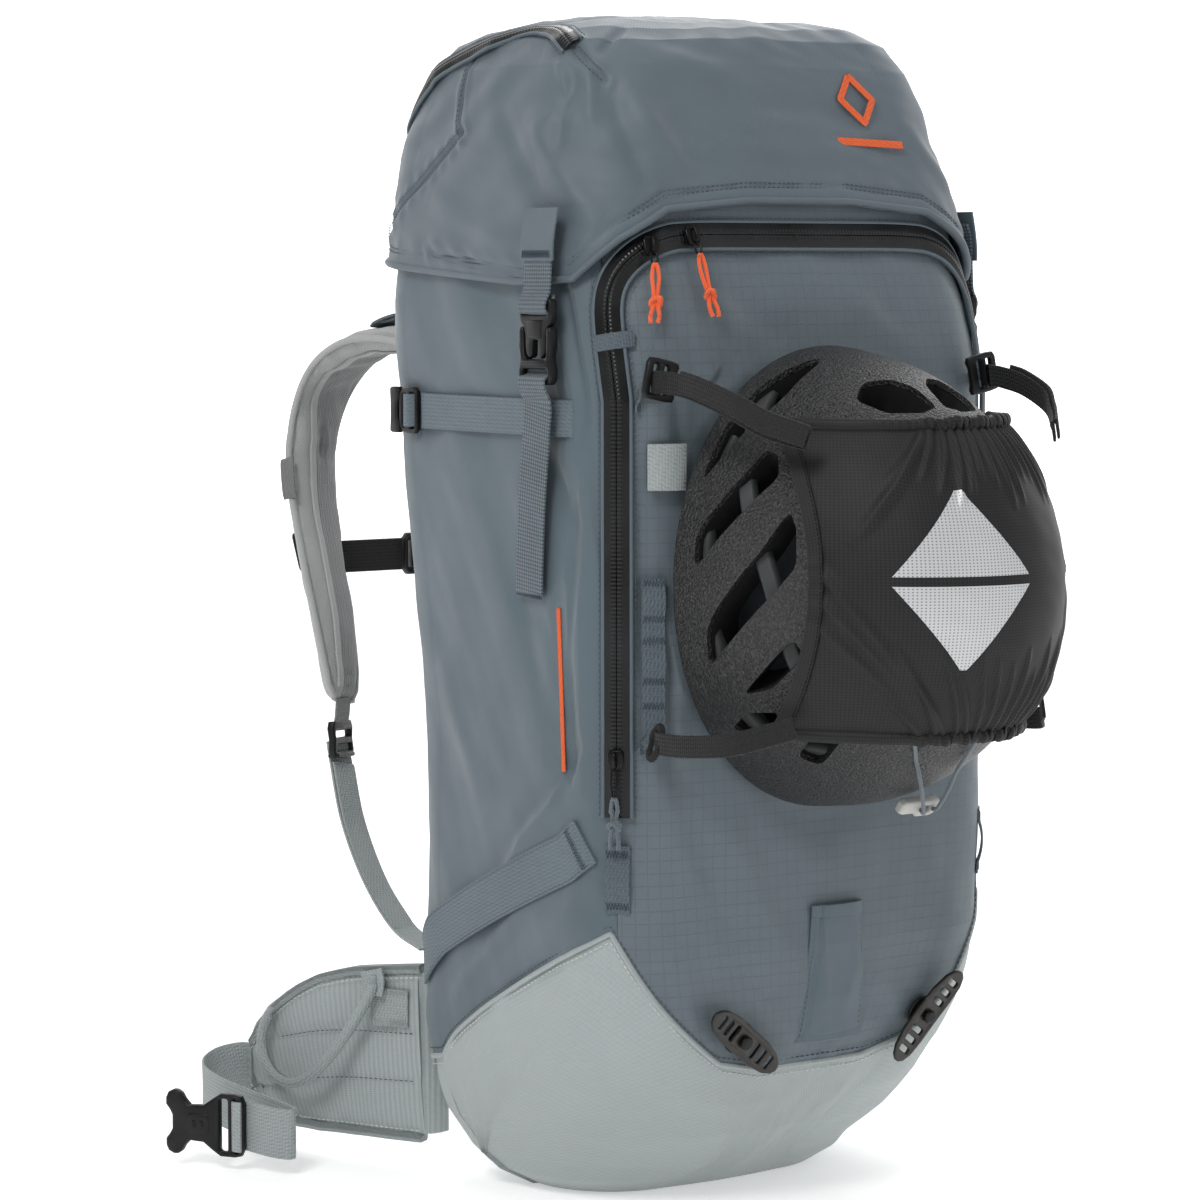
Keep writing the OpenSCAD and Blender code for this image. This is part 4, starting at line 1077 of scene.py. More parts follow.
def lid_bend(u, z):
    s = lid_s(np.where(u > 6, u - 8, u))
    d = 1.7 * smooth_noise(s, z, 150, 41, (1.0, 1.3)) + 0.8 * smooth_noise(s, z, 60, 42, (0.8, 1.3))
    for a, b, width, height in (((1.66, 640), (2.4, 618), 9, 2.2), ((1.6, 622), (1.9, 560), 8, -2.2),
                                ((1.75, 616), (2.1, 566), 9, 2.0), ((2.2, 612), (2.9, 604), 10, -1.8),
                                ((2.2, 585), (2.9, 580), 10, 1.5), ((1.0, 600), (1.5, 540), 10, 2.0),
                                ((0.7, 610), (1.2, 545), 9, -1.6), ((0.2, 560), (0.9, 530), 9, 1.6),
                                ((1.35, 625), (1.2, 580), 6, -1.8), ((1.45, 630), (1.5, 596), 5, 1.8),
                                ((1.5, 636), (1.62, 652), 4, -1.8), ((1.22, 632), (1.3, 612), 4, 1.4),
                                ((3.1, 600), (3.6, 550), 9, 1.8), ((5.2, 600), (5.6, 550), 12, 1.5)):
        d += fold(s, z, (float(lid_s(a[0])), a[1]), (float(lid_s(b[0])), b[1]), width * 0.8, height * 1.4)
    for line in LID_SEAMS:
        g = gap_to(s, z, [(float(lid_s(a)), b) for a, b in line])
        d -= 1.5 * np.exp(-(g / 1.6) ** 2)
        d += 0.7 * np.exp(-((g - 5) / 3) ** 2) * (1 + 0.6 * np.sin(s / 2.3 + z / 3.1))
    hem = z - around(LID_EDGE, u)
    d -= 0.9 * np.exp(-((hem - 9) / 1.5) ** 2)
    d += 0.35 * np.sin(s / 3.2) * np.exp(-((hem - 12) / 5) ** 2)
    zip_run = [(float(lid_s(a)), b) for a, b in LID_ZIP]
    d = bedded(d, s, z, [(zip_run, 7)], -0.2)
    return d * np.clip(0.35 + hem / 14, 0, 1), s


def lid():
    nu, nz = 560, 130
    u = np.linspace(0, 8, nu, endpoint=False)[:, None]
    t = np.linspace(0, 1, nz)[None, :]
    edge = around(LID_EDGE, u)
    z = edge + (1 - (1 - t) ** 1.8) * (LID_TOP - edge)
    p = at(LID, u, z)
    d, s = lid_bend(u + 0 * z, z)
    side = displaced(p, d)
    centre = np.array([0, 20, LID_TOP])
    rings = []
    rim = side[:, -1:]
    for k in np.linspace(0.97, 0.03, 34):
        ring = centre + (rim - centre) * k
        x, y = ring[..., 0], ring[..., 1]
        soft = 1.5 * smooth_noise(x, y, 110, 45) + 0.6 * smooth_noise(x, y, 40, 46)
        ring[..., 2] = (LID_TOP + (rim[..., 2] - LID_TOP) * k ** 3 + 5.0 * (1 - k ** 2) + soft
                        * min(1, (1 - k) * 4))
        rings.append(ring)
    full = np.concatenate([side] + rings, axis=1)
    over_top = z[:, -1:] + np.cumsum(np.linalg.norm(np.diff(full[:, nz - 1:], axis=1), axis=2), axis=1)
    cloth = np.stack([np.concatenate([s, full[:, nz:, 0] + 0 * over_top], 1),
                      np.concatenate([z, full[:, nz:, 1] + 0 * over_top], 1)], -1)
    nj = full.shape[1]
    cap = [tuple(i * nj + nj - 1 for i in range(nu))]
    shell = grid_object("lid_fabric_shell", full, cloth, "lid", closed_i=True, thickness=1.6, caps=cap)
    ride(shell, "lid", ["lid_shell"])
    v = np.linspace(0, 8, 560)
    e = around(LID_EDGE, v)
    hem = swept("lid_hem", over(LID, v, e + 0.6, -0.6 + 0 * v), up_at(LID, v, e),
                round_profile(2.1, 10, 1.15), "lid", closed=True)
    ride(hem, "lid")
    for i, lift in enumerate((8.0, 10.2)):
        z1 = around(LID_EDGE, v) + lift
        row = dashes(f"lid_hem_stitches_{i}", over(LID, v, z1, -0.35 + 0 * v), out_at(LID, v, z1), 2.2, 3.2,
                     0.28, "thread")
        ride(row, "lid")
    for i, line in enumerate(LID_SEAMS):
        q = smooth_path([(a, b, 0) for a, b in line], 80)
        for k, lift in enumerate((-2.6, 2.6)):
            row = dashes(f"lid_seam_stitches_{i}_{k}", over(LID, q[:, 0], q[:, 1] + lift, 0.5 + 0 * q[:, 0]),
                         out_at(LID, q[:, 0], q[:, 1]), 2.0, 3.0, 0.26, "thread")
            ride(row, "lid")


ZIP_PROFILE = np.array([(-7.5, 0), (-7.1, 0.5), (-3.6, 0.7), (-3.0, 1.25), (-1.2, 1.45), (-0.25, 1.35),
                        (0, 0.7), (0.25, 1.35), (1.2, 1.45), (3.0, 1.25), (3.6, 0.7), (7.1, 0.5), (7.5, 0),
                        (0, -0.3)])


def zip_band(name, shape, route, n, off, width, body, node):
    q = smooth_path([(a * 100, b, 0) for a, b in route], n)
    u, z = q[:, 0] / 100, q[:, 1]
    p = over(shape, u, z, off + 0 * u)
    out = out_at(shape, u, z)
    side = np.cross(out, unit(np.gradient(p, axis=0)))
    band = swept(name, p, side, ZIP_PROFILE * (width / 15, 1), "zip")
    ride(band, body, [node])
    return u, z, p, side, out


def zip_edging(name, p, side, out, across, body, thread="thread"):
    """Stitches that hold a zip's tape, and the folded lip of cloth beside it."""
    for k, s in enumerate((-1, 1)):
        row = dashes(f"{name}_stitches_{k}", p + side * s * (across + 2.6) + out * -0.6, out, 2.2, 3.2,
                     0.28, thread)
        ride(row, body)
        lip = swept(f"{name}_lip_{k}", p + side * s * (across + 0.2) - out * 0.5, out,
                    round_profile(1.25, 8), "body")
        ride(lip, body)


lid()
lp, lside, lout = zip_band("lid_zip_band", LID, LID_ZIP, 220, 0.7, 12, "lid", "lid_zip")[2:]
zip_edging("lid_zip", lp, lside, lout, 6, "lid")
fp, fside, fout = zip_band("front_zip_band", BAG, zip_line(), 420, 1.7, 15, "bag", "front_zip")[2:]
zip_edging("front_zip", fp, fside, fout, 7.4, "bag")


# ---- Shared small parts ----------------------------------------------------------------------------------
LEFT = np.array([[0.0, -1, 0], [1, 0, 0], [0, 0, 1]])


def half_plate(name, half, holes, thick, bevel, material):
    """A plate whose outline is given for one side of its middle line, from top to bottom."""
    return flat_plate(name, [half + [(-x, z) for x, z in half[::-1]]] + holes, thick, bevel, material)


def to_right(name):
    return name.replace("left", "right")


def both(obj, body, nodes=()):
    """Rides a left piece, and its mirror image on the right; the right one's names say right for left."""
    right = mirrored(obj, to_right(obj.name))
    ride(obj, body, nodes)
    ride(right, to_right(body), [to_right(n) for n in nodes])
    return obj, right


def bar_tack(name, centre, across, along, out, width, material="thread", rows=2):
    """A dense zigzag of thread across a strap."""
    zig = []
    steps = int(width / 0.8)
    for i in range(steps + 1):
        zig.append(centre + across * (i / steps - 0.5) * width + along
                   * (0.9 * rows if i % 2 else -0.9 * rows) + out * 0.5)
    return tube(name, np.array(zig), 0.34, material, n=0, sides=5, side=tuple(out))


def finish_node(name, material):
    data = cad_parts[name].data
    data.materials.clear()
    data.materials.append(MAT[material])


# ---- Zip sliders and pulls -------------------------------------------------------------------------------
def slider(name, shape, u, z, off, body, node):
    plate = flat_plate(name,
                       [[(-3.4, 0.3), (3.4, 0.3), (4.3, 4), (4.5, 8.5), (3.4, 10.8), (-3.4, 10.8),
                         (-4.5, 8.5), (-4.3, 4)]], 2.2, 0.7, "lacquer")
    turned(plate, np.eye(3), (0, -1.3, 0))
    under = flat_plate(name + "_wing", [rounded_rect(8.4, 10, 1.6, 0, 5.5)], 1.2, 0.4, "lacquer")
    turned(under, np.eye(3), (0, 0.2, 0))
    bridge = tube(name + "_bridge",
                  [(0, -2.0, 9.6), (0, -4.4, 8.6), (0, -5.2, 5.4), (0, -4.4, 2.2), (0, -2.0, 1.4)], 0.75,
                  "lacquer", 24, 10, side=(1, 0, 0))
    piece = on_face(join(name, [plate, under, bridge]), shape, u, z, off)
    return ride(piece, body, [node])


def knotted_pull(name, shape, u, z, off, length, body, node, material, bend=0.0, wire=5.0):
    """A wire loop, two cord strands that run down to an overhand knot, and the two tails."""
    parts = []
    loop = [(-1.7, -3.4, 0.4), (-1.9, -4.0, -wire * 0.5), (-1.2, -4.0, -wire), (0, -4.0, -wire - 0.9),
            (1.2, -4.0, -wire), (1.9, -4.0, -wire * 0.5), (1.7, -3.4, 0.4)]
    parts.append(tube(name + "_wire", face_points(shape, u, z, off, loop), 0.62, "lacquer", 40, 8))
    knot_z = -length * 0.66
    r = 1.15

    def sway(q):
        q = np.array(q, float)
        q[:, 0] += bend * (q[:, 2] / length) ** 2
        return q
    for s in (-1, 1):
        strand = [(0.1 * s, -4.6, -wire - 0.6), (1.2 * s, -4.4, -wire - 2.6), (1.9 * s, -4.0, -wire - 8),
                  (1.5 * s, -3.8, knot_z + 8), (0.9 * s, -3.8, knot_z + 2), (0.6 * s, -3.8, knot_z)]
        parts.append(tube(f"{name}_strand{s}", face_points(shape, u, z, off, sway(strand)), r, material, 50,
                          10))
        tail = [(0.4 * s, -3.8, knot_z), (1.3 * s, -3.9, knot_z - 3), (2.3 * s, -3.8 - 0.3 * s, knot_z - 8),
                (2.0 * s, -3.6, -length + 1.5)]
        parts.append(tube(f"{name}_tail{s}", face_points(shape, u, z, off, sway(tail)), r * 1.05, material,
                          40, 10))
    knot = [(-0.8, -3.0, 2.6), (1.9, -5.0, 2.0), (2.9, -3.8, 0.2), (1.0, -1.9, -1.2), (-2.2, -3.2, -1.6),
            (-2.8, -5.2, 0.2), (-0.2, -5.9, 1.4), (2.6, -4.4, -1.6), (0.6, -2.6, -2.8)]
    knot = [(x, y, w + knot_z - 0.5) for x, y, w in knot]
    parts.append(tube(name + "_knot", face_points(shape, u, z, off, sway(knot)), r * 1.12, material, 90, 10))
    return ride(join(name, parts), body, [node])


slider("top_slider_body", BAG, 2.06, 530, 4, "top_slider", "zip_slider_top")
knotted_pull("top_cord_pull", BAG, 2.06, 530, 4, 42, "top_pull", "zip_pull_top", "orange", 3.0)
slider("corner_slider_body", BAG, 1.8, 525, 4, "corner_slider", "zip_slider_corner")
knotted_pull("corner_cord_pull", BAG, 1.8, 525, 4, 40, "corner_pull", "zip_pull_corner", "orange",
             -4.0)
slider("lower_slider_body", BAG, ZIP_U, 254, 4, "lower_slider", "zip_slider_lower")
knotted_pull("lower_cord_pull", BAG, ZIP_U, 254, 4, 44, "lower_pull", "zip_pull_lower", "slate_cord",
             0.0, 14.0)


def lid_slider():
    plate = flat_plate("lid_slider_body", [rounded_rect(11.6, 8, 2.2)], 2.4, 0.8, "lacquer")
    turned(plate, np.eye(3), (0, -2.2, 0))
    tab = flat_plate("lid_slider_tab",
                     [rounded_rect(8, 5.6, 2, -8.6, 0), rounded_rect(3.6, 2.6, 1.2, -9.4, 0)], 1.6, 0.5,
                     "lacquer")
    turned(tab, np.eye(3), (0, -2.6, 0))
    bridge = tube("lid_slider_bridge", [(-3.6, -2.8, 0), (-2.6, -4.2, 0), (0, -4.5, 0), (2.6, -4.2, 0),
                                        (3.6, -2.8, 0)], 0.7, "lacquer", 24, 10, side=(0, 0, 1))
    piece = on_face(join("lid_slider_body", [plate, tab, bridge]), LID, 6.9, 599, 4.6)
    ride(piece, "lid_slider", ["lid_zip_slider"])


lid_slider()


# ---- Lid straps and side-release buckles -----------------------------------------------------------------
BUCKLE = np.array([-146.2, -56, 484])


def block_webbing(name, path, side, width, n=90, material="block_webbing"):
    return webbing(name, path, side, width, 1.5, material, n)


def lid_buckles():
    x, y = BUCKLE[:2]
    strap = block_webbing("lid_strap_left",
                          [(x + 3.4, y, 545), (x + 0.4, y, 536), (x - 0.2, y, 520), (x - 1.0, y, 508),
                           (x - 3.5, y, 502.5), (x - 4.2, y, 499.5), (x - 3.2, y, 496.8), (x, y, 496.4),
                           (x + 1.6, y, 499), (x + 1.8, y, 506)], (0, 1, 0), 25)
    both(strap, "lid", ["lid_straps"])
    patch = webbing("lid_strap_patch_left",
                    [(x + 2.6, y, 552), (x + 0.2, y, 540), (x - 0.9, y, 531), (x - 0.9, y, 524)], (0, 1, 0),
                    31, 1.2, "body", 30)
    tack = bar_tack("lid_strap_tack_left", np.array([x - 1.3, y, 527.5]), np.array([0, 1.0, 0]),
                    np.array([0, 0, 1.0]), np.array([-1.0, 0, 0]), 26)
    both(patch, "lid")
    both(tack, "lid")
    male = half_plate("lid_buckle_male_left",
                      [(0, 17.6), (8.6, 17.6), (11.5, 19.6), (13.6, 19.8), (15.0, 17.5), (14.9, 9.8),
                       (13.2, 6.4), (10.6, 3.8), (9.4, 0.5), (9.2, -6.5), (8.0, -10.2), (5.4, -12),
                       (3.4, -10.8), (3.0, -3.5), (2.0, -2.2), (0, -2.2)],
                      [rounded_rect(23, 4.4, 1.4, 0, 13.4)], 5.0, 1.3, "plastic")
    spine = half_plate("male_spine", [(0, 8.6), (8.2, 8.6), (6.6, 4.2), (6.2, -1.6), (0, -1.6)], [], 6.6,
                       1.4, "plastic")
    male = turned(join("lid_buckle_male_left", [male, spine]), LEFT, BUCKLE)
    both(male, "lid", ["lid_buckles_male"])
    female = half_plate("lid_buckle_female_left",
                        [(0, -12.6), (8.6, -12.6), (10.6, -10.4), (10.8, 2.2), (11.6, 4.6), (13.8, 4.8),
                         (15.0, 2.6), (15.0, -6), (13.8, -9.5), (13.8, -13.5), (15.2, -17.5), (15.4, -22.6),
                         (12.6, -26), (0, -26)], [rounded_rect(23.6, 5.2, 1.6, 0, -20.4)], 6.0, 1.6,
                        "plastic")
    throat = half_plate("female_bridge", [(0, -13.2), (11.6, -13.2), (12.4, -16.4), (0, -16.4)], [], 7.4,
                        1.2, "plastic")
    female = turned(join("lid_buckle_female_left", [female, throat]), LEFT, BUCKLE)
    both(female, "bag", ["lid_buckles_female"])
    web = block_webbing("lid_webbing_left",
                        [(x + 1.4, y, 468), (x + 1.6, y, 463.8), (x - 1.2, y, 462.2), (x - 4.2, y, 461.4),
                         (x - 4.5, y, 457.5), (x - 2.6, y, 453), (x - 0.4, y, 447),
                         (-SIDE_X - 5.6, y + 3, 430), (-SIDE_X - 4.6, y + 9, 390),
                         (-SIDE_X - 3.0, y + 13.6, 349), (-SIDE_X - 1.6, y + 14, 343)], (0, 1, 0), 25, 140)
    both(web, "bag", ["lid_webbing"])
    tail = bar_tack("lid_webbing_tack_left", np.array([-142.6, y + 13.9, 344.5]), np.array([0, 1.0, 0.06]),
                    np.array([0, 0, 1.0]), np.array([-1.0, 0, 0]), 24)
    both(tail, "bag")


lid_buckles()


# ---- Compression straps ----------------------------------------------------------------------------------
def compression():
    parts = []
    for i, (a, b) in enumerate(((0.10, 1.08), (-0.66, -0.16))):
        u = np.linspace(a, b, 90)
        lift = 1.5 + 0.25 * np.sin(u * 9)
        if i == 0:
            lift = lift - 1.6 * np.clip((u - 0.98) / 0.1, 0, 1)
        parts.append(swept(f"upper_web_{i}", at(BAG, u, UPPER_Z, lift), (0, 0, 1), web_profile(20, 1.4),
                           "fine_webbing"))
    web = join("upper_compression_left", parts)
    both(web, "bag", ["upper_compression_webbing"])
    block = flat_plate("hook_left_body",
                       [[(-13, -12), (-11.5, -13), (-5, -13), (-3.2, -11), (-3.2, -7), (-5.4, -4),
                         (-5.4, 4), (-3.2, 7), (-3.2, 11), (-5, 13), (-11.5, 13), (-13, 12), (-12.4, 5),
                         (-12.4, -5)]], 4.6, 1.2, "plastic")
    turned(block, np.eye(3), (0, -2.6, 0))
    ring = flat_plate("hook_ring",
                      [[(-4, -9), (0, -12.6), (5, -13), (12.5, -13), (15, -11), (15, 11), (12.5, 13),
                        (5, 13), (0, 12.6), (-4, 9)], rounded_rect(5.2, 19, 1.4, 2.2, 0),
                       rounded_rect(5.0, 20.4, 1.4, 10.4, 0)], 3.6, 1.1, "plastic")
    turned(ring, np.eye(3), (0, -2.2, 0))
    hook = on_face(join("hook_left_body", [block, ring]), BAG, -0.02, UPPER_Z, 1.6)
    both(hook, "hook_left", ["compression_hook_left"])
    wrap = [(11.5, 0.2, 0), (9.5, -2.0, 0), (7.4, -4.6, 0), (5.2, -4.8, 0), (3.0, -4.2, 0), (2.4, -2.0, 0),
            (3.6, -0.2, 0), (6.0, 0.1, 0)]
    loop = swept("hook_wrap_left", smooth_path(face_points(BAG, -0.02, UPPER_Z, 1.6, wrap), 40), (0, 0, 1),
                 web_profile(18.6, 1.2), "fine_webbing")
    both(loop, "hook_left")
    q = smooth_path([(a * 100, b, 0) for a, b in LOWER_ROUTE], 140)
    u, z = q[:, 0] / 100, q[:, 1]
    p = over(BAG, u, z, 1.35 + 0 * u)
    out = out_at(BAG, u, z)
    side = np.cross(out, unit(np.gradient(p, axis=0)))
    low = swept("lower_compression_left", p, side, web_profile(27, 1.5), "fine_webbing")
    both(low, "bag", ["lower_compression_webbing"])
    for k, s in enumerate((-1, 1)):
        row = dashes(f"lower_compression_stitches_{k}_left",
                     p[4:-4] + side[4:-4] * s * 11.8 + out[4:-4] * 0.75, out[4:-4], 2.2, 3.2, 0.25, "thread")
        both(row, "bag")
    tack = bar_tack("lower_compression_tack_left", p[8] + out[8] * 0.4, side[8], unit(p[9] - p[8]), out[8],
                    24)
    both(tack, "bag")


compression()


# ---- Loops sewn on the front -----------------------------------------------------------------------------
def raised_loop(name, u, z0, z1, width, bumps, height, material, body="bag", nodes=(), tacks=True):
    """A strap down the face that stands proud between its bar tacks."""
    t = np.linspace(0, 1, 120)
    z = z0 + (z1 - z0) * t
    edges = np.array(bumps, float)
    lift = np.full_like(z, 0.9)
    for a, b in edges:
        lift += height * np.sin(math.pi * np.clip((z - a) / (b - a), 0, 1)) ** 0.8
    uu = np.full_like(z, u)
    p = over(BAG, uu, z, lift)
    out = out_at(BAG, uu, z)
    side = np.cross(out, np.array([0, 0, 1.0]))
    parts = [swept(name, p, side, web_profile(width, 1.3), material)]
    if tacks:
        for k, zt in enumerate(sorted({float(a) - 2 for a, _ in edges} | {float(b) + 2 for _, b in edges})):
            i = int(np.argmin(abs(z - zt)))
            parts.append(bar_tack(f"{name}_tack{k}", p[i] + out[i] * 0.3, side[i], np.array([0, 0, 1.0]),
                                  out[i], width - 1.5))
    return ride(join(name, parts), body, nodes)


raised_loop("daisy_chain", 1.70, 264, 356, 13, [(270, 286), (303, 321), (336, 352)], 2.4, "webbing",
            nodes=["front_loops"])
raised_loop("low_loop_left", 1.45, 176, 213, 14, [(182, 206)], 2.2, "webbing", nodes=["front_loops"])
raised_loop("low_loop_right", 3.55, 176, 213, 14, [(182, 206)], 2.2, "webbing", nodes=["front_loops"])


def pale_loop():
    t = np.linspace(-1, 1, 60)
    u = 1.80 + t * 0.135
    lift = 1.2 + 2.2 * np.cos(t * math.pi / 2) ** 0.7
    p = over(BAG, u, np.full_like(u, 415), lift)
    web = swept("pale_front_loop", p, (0, 0, 1), web_profile(25, 1.6), "pale_webbing")
    ride(web, "bag", ["front_loops"])


pale_loop()


def zip_tab():
    """The slate tab that crosses the zip beside the lid buckle."""
    u = np.linspace(1.34, 1.62, 40)
    t = (u - 1.48) / 0.14
    p = over(BAG, u, 481 + 1.5 * t, 4.0 - 1.6 * t ** 2)
    web = swept("zip_tab", p, (0, 0, 1), web_profile(9, 1.2), "webbing")
    ride(web, "bag")


zip_tab()


# ---- Generic printed and sewn marks ----------------------------------------------------------------------
def flat_mark(name, shape, points, width, material, body, off=0.9):
    q = np.array(points, float)
    n = 60
    q = np.stack([np.interp(np.linspace(0, 1, n), np.linspace(0, 1, len(q)), q[:, k]) for k in (0, 1)], -1)
    p = over(shape, q[:, 0], q[:, 1], off + 0 * q[:, 0])
    out = out_at(shape, q[:, 0], q[:, 1])
    side = np.cross(out, unit(np.gradient(p, axis=0)))
    ride(swept(name, p, side, web_profile(width, 0.5), material), body)


def marks():
    cu, cz = 2.84, 613
    du, dz = 0.075, 13
    corners = [(cu, cz + dz), (cu + du, cz), (cu, cz - dz), (cu - du, cz)]
    n = 120
    ring = np.array([corners[i % 4] for i in range(5)], float)
    at_s = np.linspace(0, 1, n, endpoint=False)
    ring = np.stack([np.interp(at_s, np.linspace(0, 1, 5), ring[:, k]) for k in (0, 1)], -1)
    p = over(LID, ring[:, 0], ring[:, 1], 1.5)
    side = np.cross(out_at(LID, ring[:, 0], ring[:, 1]), unit(np.roll(p, -1, 0) - np.roll(p, 1, 0)))
    ride(swept("lid_mark_diamond", p, side, web_profile(4.2, 0.5), "orange_thread", closed=True), "lid")
    flat_mark("lid_mark_bar", LID, [(2.70, 589.5), (2.98, 588)], 4.5, "orange_thread", "lid", 1.5)
    flat_mark("side_mark_stripe", BAG, [(0.955, 338), (0.985, 250)], 3.2, "orange_thread", "bag", 0.8)


marks()


# ---- Helmet ----------------------------------------------------------------------------------------------
def dome(g, h, off):
    g, h = np.radians(g), np.radians(h)
    c = HELMET_AT
    a, b, d = HELMET_HALF
    return np.stack([c[0] + (a + off) * np.cos(g) * np.cos(h), c[1] - (d + off) * np.sin(g) + 0 * h,
                     c[2] + (b + off) * np.cos(g) * np.sin(h)], -1)


VENTS = [
    [(6.2, 175.5), (5.5, 167), (14.5, 151), (18, 142), (21.2, 142.5), (23.8, 148.8), (17.2, 160.2)],
    [(8, 200), (9.5, 189), (24.2, 169.2), (29.2, 157.2), (31.8, 161.8), (33.2, 172), (28.2, 179.8),
     (16.8, 191.8)],
    [(15.8, 207.5), (22.5, 201.5), (32, 192.8), (34, 198.5), (24, 206.5)],
    [(3.6, 154), (3.6, 137), (4.8, 121), (8.5, 103), (11.6, 107.8), (13.5, 125.2), (8.8, 141)],
    [(8, 217.8), (15, 213), (23.5, 214), (15.2, 222.5)],
    [(21.2, 229.8), (29.5, 223.2), (36.8, 217.2), (42.5, 222), (35, 228.2), (25, 235.5)],
    [(29, 115), (25.5, 107), (27.5, 98), (32, 93), (40, 92), (41, 101), (37, 112)],
    [(44, 150), (54, 142), (62, 152), (52, 164)],
    [(47, 190), (56, 182), (64, 196), (55, 210)],
]


def rounded_ring(points, rounds=3):
    """Corner cutting, which rounds a vent's corners."""
    p = np.array(points, float)
    for _ in range(rounds):
        q = np.roll(p, -1, axis=0)
        p = np.stack([p * 0.86 + q * 0.14, p * 0.14 + q * 0.86], 1).reshape(-1, 2)
    return p


def vent_cutters():
    verts, faces = [], []
    mirrored_vents = [[(g, 180 - h) for g, h in v[::-1]] for v in VENTS]
    for vent in VENTS + mirrored_vents:
        ring = rounded_ring(vent)
        n = len(ring)
        base = len(verts)
        c = ring.mean(0)
        for off, shrink in ((12, 1.05), (-34, 0.86)):
            r = c + (ring - c) * shrink
            verts += list(dome(r[:, 0], r[:, 1], off))
            verts.append(dome(c[0], c[1], off))
        top, low = base + n, base + 2 * n + 1
        for i in range(n):
            j = (i + 1) % n
            a, b, a2, b2 = base + i, base + j, base + n + 1 + i, base + n + 1 + j
            faces += [(a, b, top), (b2, a2, low), (a, a2, b2), (a, b2, b)]
    mesh = bpy.data.meshes.new("vent_cutters")
    mesh.from_pydata((np.array(verts) * MM).tolist(), [], faces)
    face_outwards(mesh)
    obj = bpy.data.objects.new("vent_cutters", mesh)
    bpy.context.collection.objects.link(obj)
    return obj


def dome_solid(name, out, inn, material, cutters, rim_lift=0.0):
    nh, ng = 144, 44
    g = np.linspace(0, 88, ng)[None, :]
    h = np.linspace(0, 360, nh, endpoint=False)[:, None]
    flare = rim_lift * np.exp(-(g / 4) ** 2)
    outer = dome(g + 0 * h, h + 0 * g, out + flare + 0 * h)
    inner = dome(g + 0 * h, h + 0 * g, inn + 0 * h + 0 * g)
    n = nh * ng
    faces = grid_faces(nh, ng, True)
    faces = [tuple(f) for f in faces] + [tuple(v + n for v in f[::-1]) for f in faces]
    faces += [(i * ng, i * ng + n, ((i + 1) % nh) * ng + n, ((i + 1) % nh) * ng) for i in range(nh)]
    faces.append(tuple(i * ng + ng - 1 for i in range(nh)))
    faces.append(tuple(n + i * ng + ng - 1 for i in range(nh))[::-1])
    mesh = bpy.data.meshes.new(name)
    mesh.from_pydata((np.concatenate([outer.reshape(-1, 3), inner.reshape(-1, 3)]) * MM).tolist(), [], faces)
    face_outwards(mesh)
    obj = link_object(name, mesh, material, smooth=False)
    cut = obj.modifiers.new("vents", "BOOLEAN")
    cut.operation, cut.solver, cut.object = "DIFFERENCE", "EXACT", cutters
    apply_modifiers(obj)
    obj.data.shade_smooth()
    obj.data.set_sharp_from_angle(angle=math.radians(35))
    return obj


def apply_modifiers(obj):
    depsgraph = bpy.context.evaluated_depsgraph_get()
    mesh = bpy.data.meshes.new_from_object(obj.evaluated_get(depsgraph))
    obj.modifiers.clear()
    old = obj.data
    obj.data = mesh
    bpy.data.meshes.remove(old)


def helmet():
    cutters = vent_cutters()
    shell = dome_solid("helmet_outer_shell", 0, -3, "helmet", cutters, 1.4)
    ride(shell, "bag", ["helmet_shell"])
    liner = dome_solid("helmet_foam_liner", -3.4, -22, "foam", cutters)
    ride(liner, "bag", ["helmet_liner"])
    bpy.data.objects.remove(cutters)
    ribs = []
    for k, line in enumerate(([(3, 118), (12.8, 148.8), (25.2, 176.8), (30.2, 201.8), (32, 222)],
                              [(3, 138), (4.5, 161.8), (7.8, 195), (13, 221), (30, 240)])):
        q = smooth_path([(a, b, 0) for a, b in line], 60)
        for s, word in ((1, "l"), (-1, "r")):
            h = q[:, 1] if s == 1 else 180 - q[:, 1]
            p = dome(q[:, 0], h, -9.0)
            out = unit(p - HELMET_AT)
            side = np.cross(out, unit(np.gradient(p, axis=0)))
            ribs.append(swept(f"helmet_rib_{k}{word}", p, side, web_profile(11, 7), "grey_plastic"))
    ride(join("helmet_inner_ribs", ribs), "bag")
    h = np.linspace(0, 360, 181)
    p = dome(0, h, -1.2)
    rim = swept("helmet_rim", p, (0, -1, 0), round_profile(2.2, 10, 1.2), "rubber", closed=False)
    ride(rim, "bag")
    clip = flat_plate("helmet_rear_clip",
                      [[(-13, -3.4), (-10, -4.6), (-2, -4.6), (0, -7), (9, -7), (12, -5), (13, 3),
                        (11, 4.4), (-11, 4.4), (-13, 2.6)], rounded_rect(6.5, 5, 1.6, 5.4, -2)], 5, 1.2,
                      "pale_plastic")
    turned(clip, np.array([[1.0, 0, 0], [0, 0.8, 0.6], [0, -0.6, 0.8]]), (5, -193, 235))
    ride(clip, "bag", ["helmet_clip"])


helmet()


# ---- Helmet net ------------------------------------------------------------------------------------------
# Net coordinates: a in degrees round the helmet, b from -1 to 1 up it; these turn them into mm of cloth
NET_MM_PER_DEG = 1.75
NET_HALF_HIGH = 80


def net_surface(a, b, off):
    a_r = np.radians(a)
    z = HELMET_AT[2] + 6 + NET_HALF_HIGH * b
    r = np.sqrt(1 - ((z - HELMET_AT[2]) / (HELMET_HALF[1] + off)) ** 2)
    return np.stack([HELMET_AT[0] + (HELMET_HALF[0] + off) * r * np.sin(a_r) * 1.02,
                     HELMET_AT[1] - (HELMET_HALF[2] + off) * r * np.cos(a_r), z], -1)


